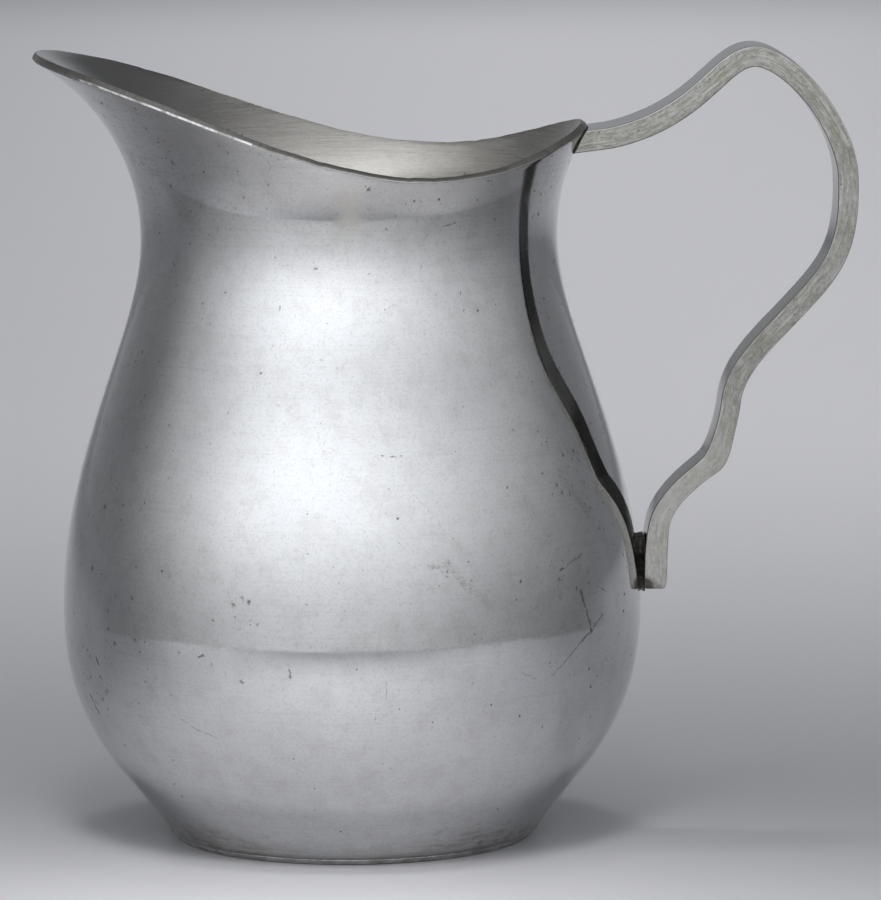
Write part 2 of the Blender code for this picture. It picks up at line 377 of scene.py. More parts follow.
def polished_body():
    """Bright spun pewter outside: near-mirror, with hairlines, specks, smudges, a few scratches and grime at the foot,
    and painted shade in a band below the lip at the front.
    """
    made, n, shader, place = start_material("pewter_polished")
    x, y, z = n.split(place)
    around = n.join(n.mul(n.math("ARCTAN2", y, x), BELLY_ARC), z, 0.0)
    clouds = n.noise(place, 0.055, 3.0, 0.55)
    mottle = n.noise(place, 0.34, 4.0, 0.62)
    grain = n.noise(place, 3.0, 3.0, 0.65)
    flare = n.ramp(z, 80.0, 94.0)

    # Fine lines left by polishing: mostly round the body, some slanting.
    level = n.noise(n.vec("MULTIPLY", place, (0.06, 0.06, 3.2)), 1.0, 3.0, 0.65)
    slant_a = n.noise(n.turned(place, (24.0, 38.0, 10.0), (0.06, 2.4, 0.30)), 1.0, 2.0, 0.6)
    slant_b = n.noise(n.turned(place, (-52.0, -31.0, 70.0), (0.05, 2.1, 0.25)), 1.0, 2.0, 0.6)
    hair_a = n.ramp(n.math("ABSOLUTE", n.sub(slant_a, 0.5)), 0.014, 0.0)
    hair_b = n.ramp(n.math("ABSOLUTE", n.sub(slant_b, 0.5)), 0.011, 0.0)
    hair = n.mul(n.most(hair_a, hair_b), n.ramp(mottle, 0.46, 0.60))

    # Dark specks in three sizes, in patches, with more of them low on the left side.
    patch = n.ramp(n.noise(place, 0.13, 3.0, 0.55), 0.49, 0.64)
    knot = n.ramp(mottle, 0.42, 0.62, 0.12, 1.7)
    worn_side = n.mul(n.most(n.ramp(x, -20.0, -36.0), n.ramp(x, 22.0, 34.0)), n.ramp(mottle, 0.42, 0.60))
    chance = n.mul(knot, n.add(n.math("MULTIPLY_ADD", patch, 0.55, 0.06), n.math("MULTIPLY_ADD", worn_side, 0.40, n.mul(flare, 0.22))))
    gap = n.math("ABSOLUTE", n.add(n.math("ARCTAN2", y, x), 0.5 * math.pi))
    calm = n.mul(n.ramp(gap, 0.90, 0.55), n.mul(n.ramp(z, 38.0, 48.0), n.ramp(z, 88.0, 80.0)))
    calm = n.most(calm, n.mul(n.ramp(gap, 1.15, 0.70), n.ramp(z, 38.0, 30.0)))
    chance = n.mul(chance, n.math("MULTIPLY_ADD", calm, -0.80, 1.0))  # fewer in the middle of the front
    wear = 0.0
    for degrees, height, wide, more in WEAR_SPOTS:
        near = n.vec("DISTANCE", around, (math.radians(degrees) * BELLY_ARC, height, 0.0))
        wear = n.add(wear, n.ramp(near, wide, 0.3 * wide, 0.0, more))
    wear = n.mul(wear, n.ramp(mottle, 0.40, 0.58))
    chance = n.add(chance, wear)
    ragged = n.mul(n.sub(grain, 0.5), 0.80)
    far_a, pick_a, size_a = n.cells(place, 0.90)
    speck_a = n.mul(
        n.ramp(n.add(far_a, ragged), n.math("MULTIPLY_ADD", size_a, 0.16, 0.09), 0.03),
        n.math("LESS_THAN", pick_a, chance),
    )
    far_b, pick_b, size_b = n.cells(n.vec("ADD", place, (31.0, 17.0, 5.0)), 0.42)
    speck_b = n.mul(
        n.ramp(n.add(far_b, n.mul(ragged, 0.6)), n.math("MULTIPLY_ADD", size_b, 0.15, 0.08), 0.03),
        n.math("LESS_THAN", pick_b, n.mul(chance, 0.8)),
    )
    far_c, pick_c, size_c = n.cells(n.turned(place, (12.0, -9.0, 0.0), (1.25, 1.25, 0.36)), 1.0)
    speck_c = n.mul(
        n.ramp(n.add(far_c, n.mul(ragged, 0.5)), n.math("MULTIPLY_ADD", size_c, 0.14, 0.07), 0.03),
        n.math("LESS_THAN", pick_c, n.mul(chance, 0.6)),
    )
    # and small clusters of pits, a millimetre or two across
    far_d, pick_d, size_d = n.cells(n.vec("ADD", place, (3.0, 41.0, 23.0)), 0.20)
    cluster = n.mul(
        n.ramp(n.add(far_d, n.mul(ragged, 0.35)), n.math("MULTIPLY_ADD", size_d, 0.16, 0.10), 0.06),
        n.math("LESS_THAN", pick_d, n.math("MULTIPLY_ADD", chance, 0.9, 0.10)),
    )
    far_e, pick_e, size_e = n.cells(place, 2.1)
    speck_e = n.mul(
        n.ramp(n.add(far_e, n.mul(ragged, 0.5)), n.math("MULTIPLY_ADD", size_e, 0.18, 0.16), 0.08),
        n.math("LESS_THAN", pick_e, n.math("MULTIPLY_ADD", cluster, 0.55, n.mul(chance, 0.08))),
    )
    far_f, pick_f, size_f = n.cells(n.turned(n.vec("ADD", place, (13.0, 7.0, 29.0)), (0.0, 30.0, 0.0), (0.70, 0.70, 0.42)), 1.0)
    speck_f = n.mul(
        n.ramp(n.add(far_f, n.mul(ragged, 0.9)), n.math("MULTIPLY_ADD", size_f, 0.20, 0.09), 0.03),
        n.math("LESS_THAN", pick_f, n.mul(wear, 1.40)),
    )
    specks = n.most(speck_a, speck_b, speck_c, speck_e, speck_f)

    # Single scratches and dings that stand out.
    wobble = n.vec("SCALE", n.vec("SUBTRACT", n.join(n.noise(place, 0.8, 2.0), n.noise(n.vec("ADD", place, (9.0, 3.0, 7.0)), 0.8, 2.0), 0.5), (0.5, 0.5, 0.5)), scale=0.9)
    spot = n.vec("ADD", around, wobble)
    broken = n.math("MULTIPLY_ADD", n.ramp(n.noise(place, 1.7, 3.0, 0.7), 0.34, 0.66), 0.20, -0.07)
    dark_marks = scratch_marks(n, spot, DARK_SCRATCHES, broken)
    fine_marks = scratch_marks(n, spot, FINE_SCRATCHES, n.mul(broken, 0.6))
    dull_marks = n.mul(scratch_marks(n, spot, DULL_MARKS), n.ramp(n.noise(n.turned(place, (0.0, -40.0, 0.0), (1.6, 3.6, 4.2)), 1.0, 4.0, 0.75), 0.44, 0.60))

    # Grime that settles just above the base, smudges all over, and a faint stain below the rim.
    low = n.ramp(n.add(z, n.mul(n.sub(mottle, 0.5), 12.0)), 5.5, 0.6)
    sides = n.ramp(n.math("ABSOLUTE", x), 4.0, 22.0, 0.30, 1.0)
    grime = n.mul(n.mul(low, sides), n.ramp(n.noise(n.vec("MULTIPLY", place, (0.30, 0.30, 1.5)), 1.0, 4.0, 0.7), 0.36, 0.62))
    foot_line = n.ramp(z, 1.7, 1.0)
    smudge = n.ramp(n.noise(n.turned(place, (0.0, 20.0, 35.0), (0.20, 0.34, 0.16)), 1.0, 4.0, 0.62), 0.50, 0.68)
    stain = n.mul(n.mul(n.ramp(n.math("ABSOLUTE", n.sub(n.add(x, n.mul(n.sub(mottle, 0.5), 5.0)), -0.2)), 2.4, 0.2), n.ramp(y, -20.0, -26.0)), n.mul(n.ramp(z, 82.0, 86.5), n.ramp(z, 94.0, 88.0)))

    colour = n.mix(n.ramp(clouds, 0.32, 0.70), (0.606, 0.612, 0.620), (0.652, 0.656, 0.660))
    colour = n.mix(n.mul(n.ramp(mottle, 0.44, 0.72), n.math("MULTIPLY_ADD", flare, 0.26, 0.24)), colour, (0.44, 0.435, 0.42))
    colour = n.mix(n.mul(n.ramp(grain, 0.46, 0.74), n.math("MULTIPLY_ADD", flare, 0.34, 0.34)), colour, (0.33, 0.325, 0.315))
    colour = n.mix(n.mul(n.ramp(level, 0.50, 0.74), n.math("MULTIPLY_ADD", flare, 0.22, 0.16)), colour, (0.37, 0.37, 0.36))
    colour = n.mix(n.mul(smudge, 0.18), colour, (0.46, 0.45, 0.43))
    below = n.sub(n.add(n.mul(n.mul(x, x), 0.0058), n.math("MULTIPLY_ADD", x, -0.06, 92.7)), z)  # how far below the rim, roughly
    # painted shade: the front of the wall is coloured darker in a band that deepens towards the lip, from 11 mm below
    # it
    colour = n.mix(n.mul(n.ramp(below, 11.0, 1.0, 0.0, 0.56), n.ramp(gap, 1.25, 0.75)), colour, (0.385, 0.380, 0.365))
    colour = n.mix(n.mul(stain, 0.20), colour, (0.58, 0.52, 0.38))
    colour = n.mix(n.mul(grime, 0.74), colour, (0.235, 0.212, 0.160))
    colour = n.mix(n.mul(foot_line, 0.30), colour, (0.30, 0.29, 0.26))
    colour = n.mix(n.mul(dull_marks, 0.75), colour, (0.25, 0.255, 0.23))
    colour = n.mix(n.mul(hair, 0.20), colour, (0.36, 0.36, 0.36))
    colour = n.mix(n.mul(fine_marks, 0.65), colour, (0.22, 0.22, 0.22))
    colour = n.mix(n.mul(n.most(specks, dark_marks), 0.82), colour, (0.11, 0.11, 0.105))
    n.put(shader.inputs["Base Color"], colour)

    rough = n.ramp(clouds, 0.30, 0.72, 0.036, 0.066)
    rough = n.add(rough, n.mul(smudge, 0.050))
    rough = n.add(rough, n.mul(n.sub(level, 0.5), 0.04))
    rough = n.add(rough, n.mul(flare, 0.060))
    rough = n.add(rough, n.mul(n.most(grime, stain), 0.16))
    rough = n.add(rough, n.mul(n.most(dull_marks, fine_marks), 0.18))
    rough = n.math("ADD", rough, n.mul(n.most(specks, dark_marks), 0.35), clamp=True)
    n.put(shader.inputs["Roughness"], rough)

    relief = n.bump(level, 0.0000008)
    relief = n.bump(n.add(mottle, n.mul(grain, 0.06)), 0.0000060, relief)
    n.put(shader.inputs["Normal"], relief)
    return made


# Places with many pits: angle round the body, height, radius in millimetres, how many more.
WEAR_SPOTS = (
    (-34.0, 50.0, 7.0, 0.60),
    (-112.0, 36.5, 5.0, 0.55),
    (-143.0, 31.0, 7.5, 0.50),
    (-70.5, 40.5, 4.5, 0.40),
    (-160.0, 23.5, 8.0, 0.40),
    (-46.0, 40.5, 6.0, 0.40),
    (-33.0, 92.0, 5.0, 0.50),
    (-124.0, 92.0, 8.0, 0.22),
    (96.0, 34.0, 8.0, 0.40),
    (150.0, 40.0, 9.0, 0.30),
)

# Marks on the outside, as (from, to, width in mm, strength); ends by angle round the body and height.
DARK_SCRATCHES = (
    (wall_spot(-39.5, 36.2), wall_spot(-36.6, 31.2), 0.27, 0.95),
    (wall_spot(-39.6, 36.5), wall_spot(-39.0, 35.4), 0.36, 0.95),
    (wall_spot(-36.9, 31.6), wall_spot(-36.5, 31.0), 0.34, 0.95),
    (wall_spot(-32.5, 33.0), wall_spot(-36.6, 31.2), 0.20, 0.80),
    (wall_spot(-36.6, 31.2), wall_spot(-41.0, 29.5), 0.21, 0.80),
    (wall_spot(-45.4, 39.9), wall_spot(-44.6, 40.2), 0.30, 0.90),
    (wall_spot(-158.6, 21.5), wall_spot(-157.0, 19.2), 0.32, 0.95),
    (wall_spot(-152.0, 27.3), wall_spot(-151.2, 26.6), 0.38, 0.95),
    (wall_spot(-79.6, 56.3), wall_spot(-85.6, 56.4), 0.10, 0.70),
    (wall_spot(-65.0, 85.6), wall_spot(-61.0, 85.9), 0.17, 0.90),
    (wall_spot(-103.0, 28.8), wall_spot(-102.8, 27.6), 0.20, 0.90),
    (wall_spot(-113.0, 27.0), wall_spot(-112.4, 26.8), 0.32, 0.85),
    (wall_spot(-121.8, 29.7), wall_spot(-120.8, 29.9), 0.29, 0.90),
)
FINE_SCRATCHES = (
    (wall_spot(-41.0, 29.5), wall_spot(-48.0, 26.2), 0.17, 0.85),
    (wall_spot(-38.5, 41.5), wall_spot(-45.0, 40.0), 0.16, 0.85),
    (wall_spot(-34.0, 37.0), wall_spot(-31.0, 36.0), 0.12, 0.80),
    (wall_spot(-56.0, 27.2), wall_spot(-52.5, 26.0), 0.12, 0.70),
    (wall_spot(-84.4, 27.2), wall_spot(-84.2, 24.8), 0.10, 0.70),
    (wall_spot(-129.5, 21.4), wall_spot(-119.5, 18.6), 0.10, 0.75),
    (wall_spot(-79.0, 52.5), wall_spot(-71.5, 46.6), 0.07, 0.50),
    (wall_spot(-101.0, 62.0), wall_spot(-97.0, 58.5), 0.06, 0.35),
    (wall_spot(-112.0, 95.8), wall_spot(-109.8, 94.1), 0.14, 0.75),
    (wall_spot(-109.8, 94.1), wall_spot(-110.8, 93.2), 0.14, 0.60),
    (wall_spot(40.0, 44.0), wall_spot(49.0, 38.0), 0.09, 0.70),
    (wall_spot(92.0, 30.0), wall_spot(97.0, 33.5), 0.10, 0.75),
    (wall_spot(133.0, 52.0), wall_spot(128.0, 47.0), 0.08, 0.60),
    (wall_spot(112.0, 20.0), wall_spot(104.0, 17.0), 0.10, 0.70),
)
DULL_MARKS = (
    (wall_spot(-75.5, 41.9), wall_spot(-71.5, 42.3), 0.55, 0.80),
    (wall_spot(-71.5, 42.3), wall_spot(-67.5, 38.8), 0.80, 0.70),
    (wall_spot(-66.5, 38.8), wall_spot(-63.0, 36.0), 0.60, 0.45),
    (wall_spot(-41.0, 52.5), wall_spot(-34.0, 46.5), 0.80, 0.60),
    (wall_spot(-36.0, 88.5), wall_spot(-34.0, 87.0), 0.90, 0.60),
    (wall_spot(-128.0, 96.0), wall_spot(-118.0, 91.5), 1.40, 0.35),
    (wall_spot(60.0, 90.0), wall_spot(72.0, 88.0), 1.00, 0.40),
    (wall_spot(118.0, 36.0), wall_spot(127.0, 31.0), 1.10, 0.45),
)


def satin_inside():
    """Inside of the jug: turned satin with fine level scratches, warmer and duller than the outside, smoother in the spout."""
    made, n, shader, place = start_material("pewter_satin_inside")
    x, y, z = n.split(place)
    lines = n.noise(n.vec("MULTIPLY", place, (0.16, 0.16, 4.6)), 1.0, 4.0, 0.72)
    ticks = n.noise(n.vec("MULTIPLY", place, (0.9, 0.9, 5.5)), 1.0, 3.0, 0.7)
    cloud = n.noise(place, 0.17, 4.0, 0.6)
    speck = n.noise(place, 2.8, 3.0, 0.66)
    far, pick, _ = n.cells(place, 0.55)
    spots = n.mul(n.ramp(far, 0.16, 0.05), n.math("LESS_THAN", pick, 0.10))
    deep = n.ramp(z, 84.0, 40.0)
    spout = n.ramp(x, -14.0, -26.0)
    colour = n.mix(n.ramp(lines, 0.30, 0.72), (0.500, 0.480, 0.440), (0.640, 0.622, 0.585))
    colour = n.mix(n.mul(n.ramp(ticks, 0.52, 0.72), 0.42), colour, (0.335, 0.320, 0.285))
    colour = n.mix(n.mul(n.ramp(ticks, 0.46, 0.26), 0.30), colour, (0.74, 0.725, 0.69))
    colour = n.mix(n.mul(n.ramp(cloud, 0.45, 0.72), 0.30), colour, (0.43, 0.41, 0.375))
    colour = n.mix(n.mul(n.ramp(speck, 0.54, 0.78), 0.34), colour, (0.31, 0.295, 0.265))
    # painted shade: the spout is coloured darker and greyer than the rest of the inside
    colour = n.mix(n.mul(spout, 0.70), colour, (0.46, 0.455, 0.445))
    # painted light: the lower part of the inside is coloured lighter, towards a pale grey
    colour = n.mix(n.mul(deep, 0.45), colour, (0.680, 0.668, 0.635))
    colour = n.mix(n.mul(spots, 0.60), colour, (0.16, 0.15, 0.13))
    n.put(shader.inputs["Base Color"], colour)
    rough = n.ramp(lines, 0.25, 0.75, 0.24, 0.34)
    rough = n.add(rough, n.mul(n.ramp(cloud, 0.4, 0.75), 0.06))
    rough = n.mul(rough, n.ramp(spout, 0.0, 1.0, 1.0, 0.32))
    n.put(shader.inputs["Roughness"], n.math("ADD", rough, n.mul(spots, 0.2), clamp=True))
    relief = n.bump(n.add(n.mul(lines, 0.6), n.mul(ticks, 0.4)), 0.0000070)
    n.put(shader.inputs["Normal"], relief)
    shader.inputs["Anisotropic"].default_value = 0.40
    tangent = n.new("ShaderNodeTangent", direction_type="RADIAL", axis="Z")
    n.put(shader.inputs["Tangent"], tangent.outputs[0])
    return made


def cut_edge(worn_painted_highlight):
    """The sheared and filed lip: grey-brown metal with file marks across it; where the outer edge is worn it is
    coloured near-white with breaks, a painted highlight on real wear.
    """
    made, n, shader, place = start_material("pewter_worn_edge_painted_highlight" if worn_painted_highlight else "pewter_cut_edge")
    x, y, z = n.split(place)
    around = n.math("ARCTAN2", y, x)
    file = n.noise(n.join(n.mul(around, 240.0), n.mul(z, 0.5), 0.0), 1.0, 3.0, 0.6)
    cloud = n.noise(place, 0.35, 3.0, 0.6)
    if worn_painted_highlight:
        # painted highlight: a near-white colour on a rough surface, so the worn edge shows as a bright line
        colour = n.mix(n.ramp(file, 0.3, 0.72), (0.860, 0.850, 0.830), (0.970, 0.962, 0.950))
        colour = n.mix(n.mul(n.ramp(n.noise(n.join(n.mul(around, 36.0), 0.0, 0.0), 0.30, 4.0, 0.7), 0.44, 0.58), 0.85), colour, (0.340, 0.328, 0.300))
        n.put(shader.inputs["Roughness"], n.ramp(cloud, 0.3, 0.7, 0.40, 0.55))
    else:
        colour = n.mix(n.ramp(file, 0.3, 0.72), (0.270, 0.260, 0.238), (0.390, 0.380, 0.355))
        colour = n.mix(n.mul(n.ramp(cloud, 0.45, 0.72), 0.55), colour, (0.185, 0.176, 0.156))
        n.put(shader.inputs["Roughness"], n.ramp(cloud, 0.3, 0.7, 0.34, 0.46))
    n.put(shader.inputs["Base Color"], colour)
    n.put(shader.inputs["Normal"], n.bump(file, 0.000004))
    return made


def turned_base():
    """Base plate: satin, with turning lines round its centre and rub marks where it stands."""
    made, n, shader, place = start_material("pewter_base_turned")
    x, y, z = n.split(place)
    reach = n.math("SQRT", n.add(n.mul(x, x), n.mul(y, y)))
    lines = n.noise(n.join(n.mul(reach, 3.4), n.mul(n.math("ARCTAN2", y, x), 0.4), 0.0), 1.0, 4.0, 0.65)
    cloud = n.noise(place, 0.16, 4.0, 0.6)
    rub = n.noise(n.turned(place, (0.0, 0.0, 32.0), (0.25, 2.2, 0.3)), 1.0, 3.0, 0.6)
    ring = n.mul(n.ramp(reach, 21.6, 23.2), n.ramp(rub, 0.40, 0.62))
    colour = n.mix(n.ramp(lines, 0.3, 0.7), (0.43, 0.43, 0.42), (0.57, 0.57, 0.565))
    colour = n.mix(n.mul(n.ramp(cloud, 0.45, 0.72), 0.45), colour, (0.33, 0.325, 0.30))
    colour = n.mix(n.mul(ring, 0.5), colour, (0.66, 0.66, 0.66))
    edge = n.mul(n.ramp(reach, 24.1, 24.6), n.ramp(n.noise(place, 0.5, 3.0, 0.6), 0.40, 0.62))
    colour = n.mix(n.mul(edge, 0.55), colour, (0.22, 0.21, 0.18))
    n.put(shader.inputs["Base Color"], colour)
    n.put(shader.inputs["Roughness"], n.ramp(n.add(n.mul(lines, 0.5), n.mul(cloud, 0.5)), 0.3, 0.7, 0.24, 0.42))
    n.put(shader.inputs["Normal"], n.bump(lines, 0.000006))
    return made


def solder(name, dark, bright, share):
    """Solder left as it flowed: dull and dark, with small bright places and burnt patches."""
    made, n, shader, place = start_material(name)
    cloud = n.noise(place, 0.9, 4.0, 0.6)
    fine = n.noise(place, 4.5, 3.0, 0.6)
    far, pick, _ = n.cells(place, 1.3)
    burnt = n.mul(n.ramp(far, 0.34, 0.12), n.math("LESS_THAN", pick, 0.30))
    clean = n.ramp(cloud, 0.66 - share, 0.82 - share)
    colour = n.mix(clean, dark, bright)
    colour = n.mix(n.mul(n.ramp(fine, 0.5, 0.75), 0.35), colour, (0.10, 0.09, 0.075))
    colour = n.mix(n.mul(burnt, 0.8), colour, (0.035, 0.032, 0.028))
    n.put(shader.inputs["Base Color"], colour)
    n.put(shader.inputs["Roughness"], n.math("ADD", n.ramp(clean, 0.0, 1.0, 0.55, 0.26), n.mul(burnt, 0.2), clamp=True))
    n.put(shader.inputs["Normal"], n.bump(n.add(n.mul(cloud, 0.7), n.mul(fine, 0.3)), 0.00012))
    return made


def brushed_strap():
    """Sawn and brushed edge faces of the strap: warm satin with speckle and short scratches along it, burnt by the solder."""
    made, n, shader, place = start_material("pewter_brushed_strap")
    lay = n.new("ShaderNodeUVMap", uv_map="strap")
    along, across, _ = n.split(n.vec("SCALE", lay.outputs[0], scale=1000.0))
    strap = n.join(along, across, 0.0)
    x, y, z = n.split(place)
    brush = n.noise(n.vec("MULTIPLY", strap, (0.45, 3.6, 1.0)), 1.0, 4.0, 0.68)
    slant = n.noise(n.turned(strap, (0.0, 0.0, 24.0), (0.45, 5.0, 1.0)), 1.0, 3.0, 0.6)
    speck = n.noise(place, 2.3, 4.0, 0.72)
    blot = n.noise(place, 0.62, 3.0, 0.6)
    cloud = n.noise(place, 0.13, 3.0, 0.6)
    nick_far, nick_pick, _ = n.cells(place, 0.95)
    nicks = n.mul(n.ramp(nick_far, 0.20, 0.05), n.math("LESS_THAN", nick_pick, 0.22))
    scuff = n.mul(n.ramp(n.math("ABSOLUTE", n.sub(slant, 0.5)), 0.026, 0.0), n.ramp(blot, 0.42, 0.58))
    colour = n.mix(n.ramp(brush, 0.30, 0.70), (0.212, 0.208, 0.184), (0.452, 0.447, 0.424))
    colour = n.mix(n.mul(n.ramp(speck, 0.48, 0.70), 0.62), colour, (0.172, 0.168, 0.148))
    colour = n.mix(n.mul(n.ramp(speck, 0.46, 0.26), 0.48), colour, (0.620, 0.615, 0.590))
    colour = n.mix(n.mul(n.ramp(blot, 0.46, 0.66), 0.50), colour, (0.210, 0.204, 0.172))
    colour = n.mix(n.mul(n.ramp(cloud, 0.48, 0.34), 0.36), colour, (0.540, 0.535, 0.515))
    streak = n.noise(n.vec("MULTIPLY", strap, (0.30, 1.1, 1.0)), 1.0, 3.0, 0.62)
    colour = n.mix(n.mul(n.ramp(streak, 0.44, 0.64), 0.42), colour, (0.238, 0.231, 0.190))
    blotch = n.noise(place, 0.42, 4.0, 0.62)
    colour = n.mix(n.mul(n.ramp(blotch, 0.48, 0.66), 0.48), colour, (0.200, 0.193, 0.160))
    rubbed = n.noise(n.vec("MULTIPLY", strap, (0.14, 1.7, 1.0)), 1.0, 3.0, 0.62)
    colour = n.mix(n.mul(n.ramp(rubbed, 0.52, 0.70), 0.38), colour, (0.640, 0.630, 0.600))
    # painted light: the edge faces are coloured lighter towards the lower end of the strap
    colour = n.mix(n.ramp(z, 64.0, 46.0, 0.0, 0.20), colour, (0.82, 0.80, 0.76))
    colour = n.mix(n.mul(scuff, 0.50), colour, (0.60, 0.60, 0.575))
    colour = n.mix(n.mul(nicks, 0.65), colour, (0.11, 0.105, 0.09))
    # burnt by the soldering at the lower joint
    from_joint = n.vec("LENGTH", n.join(n.mul(n.sub(x, 40.2), 0.8), 0.0, n.sub(z, 34.0)))
    burnt = n.mul(n.ramp(n.add(from_joint, n.mul(n.sub(blot, 0.5), 2.4)), 1.35, 0.5), n.ramp(z, 40.0, 37.0))
    colour = n.mix(n.mul(burnt, 0.85), colour, (0.060, 0.055, 0.046))
    n.put(shader.inputs["Base Color"], colour)
    rough = n.ramp(n.add(n.mul(brush, 0.6), n.mul(speck, 0.4)), 0.3, 0.7, 0.30, 0.44)
    n.put(shader.inputs["Roughness"], n.math("ADD", rough, n.mul(n.most(nicks, burnt), 0.2), clamp=True))
    relief = n.bump(n.add(n.mul(brush, 0.6), n.mul(speck, 0.5)), 0.000016)
    n.put(shader.inputs["Normal"], relief)
    return made


def polished_strap(name, painted_shade):
    """Broad faces of the strap: polished, softer than the body, with lines along it. The face on the inside of the loop
    is as glossy but coloured near-black: painted shade.
    """
    made, n, shader, place = start_material(name)
    lay = n.new("ShaderNodeUVMap", uv_map="strap")
    along, across, _ = n.split(n.vec("SCALE", lay.outputs[0], scale=1000.0))
    strap = n.join(along, across, 0.0)
    brush = n.noise(n.vec("MULTIPLY", strap, (0.12, 3.2, 1.0)), 1.0, 3.0, 0.6)
    cloud = n.noise(place, 0.16, 3.0, 0.6)
    speck = n.noise(place, 2.6, 3.0, 0.66)
    far, pick, _ = n.cells(place, 0.6)
    pits = n.mul(n.ramp(far, 0.15, 0.04), n.math("LESS_THAN", pick, 0.16))
    if painted_shade:
        # painted shade: the inside face of the loop is coloured near-black
        colour = n.mix(n.ramp(cloud, 0.3, 0.7), (0.150, 0.147, 0.140), (0.225, 0.221, 0.213))
        colour = n.mix(n.mul(n.ramp(brush, 0.55, 0.72), 0.25), colour, (0.14, 0.136, 0.125))
        colour = n.mix(n.mul(n.ramp(speck, 0.55, 0.80), 0.30), colour, (0.11, 0.106, 0.095))
    else:
        colour = n.mix(n.ramp(cloud, 0.3, 0.7), (0.520, 0.522, 0.515), (0.600, 0.602, 0.598))
        colour = n.mix(n.mul(n.ramp(brush, 0.52, 0.74), 0.25), colour, (0.40, 0.40, 0.385))
        colour = n.mix(n.mul(n.ramp(speck, 0.55, 0.80), 0.30), colour, (0.34, 0.335, 0.315))
    colour = n.mix(n.mul(pits, 0.7), colour, (0.10, 0.10, 0.09))
    n.put(shader.inputs["Base Color"], colour)
    rough = n.add(n.ramp(cloud, 0.3, 0.7, 0.10, 0.17), n.mul(n.sub(brush, 0.5), 0.08))
    n.put(shader.inputs["Roughness"], n.math("ADD", rough, n.mul(pits, 0.3), clamp=True))
    relief = n.bump(brush, 0.0000030)
    n.put(shader.inputs["Normal"], relief)
    return made


# ------------------------------------------------------------------ body


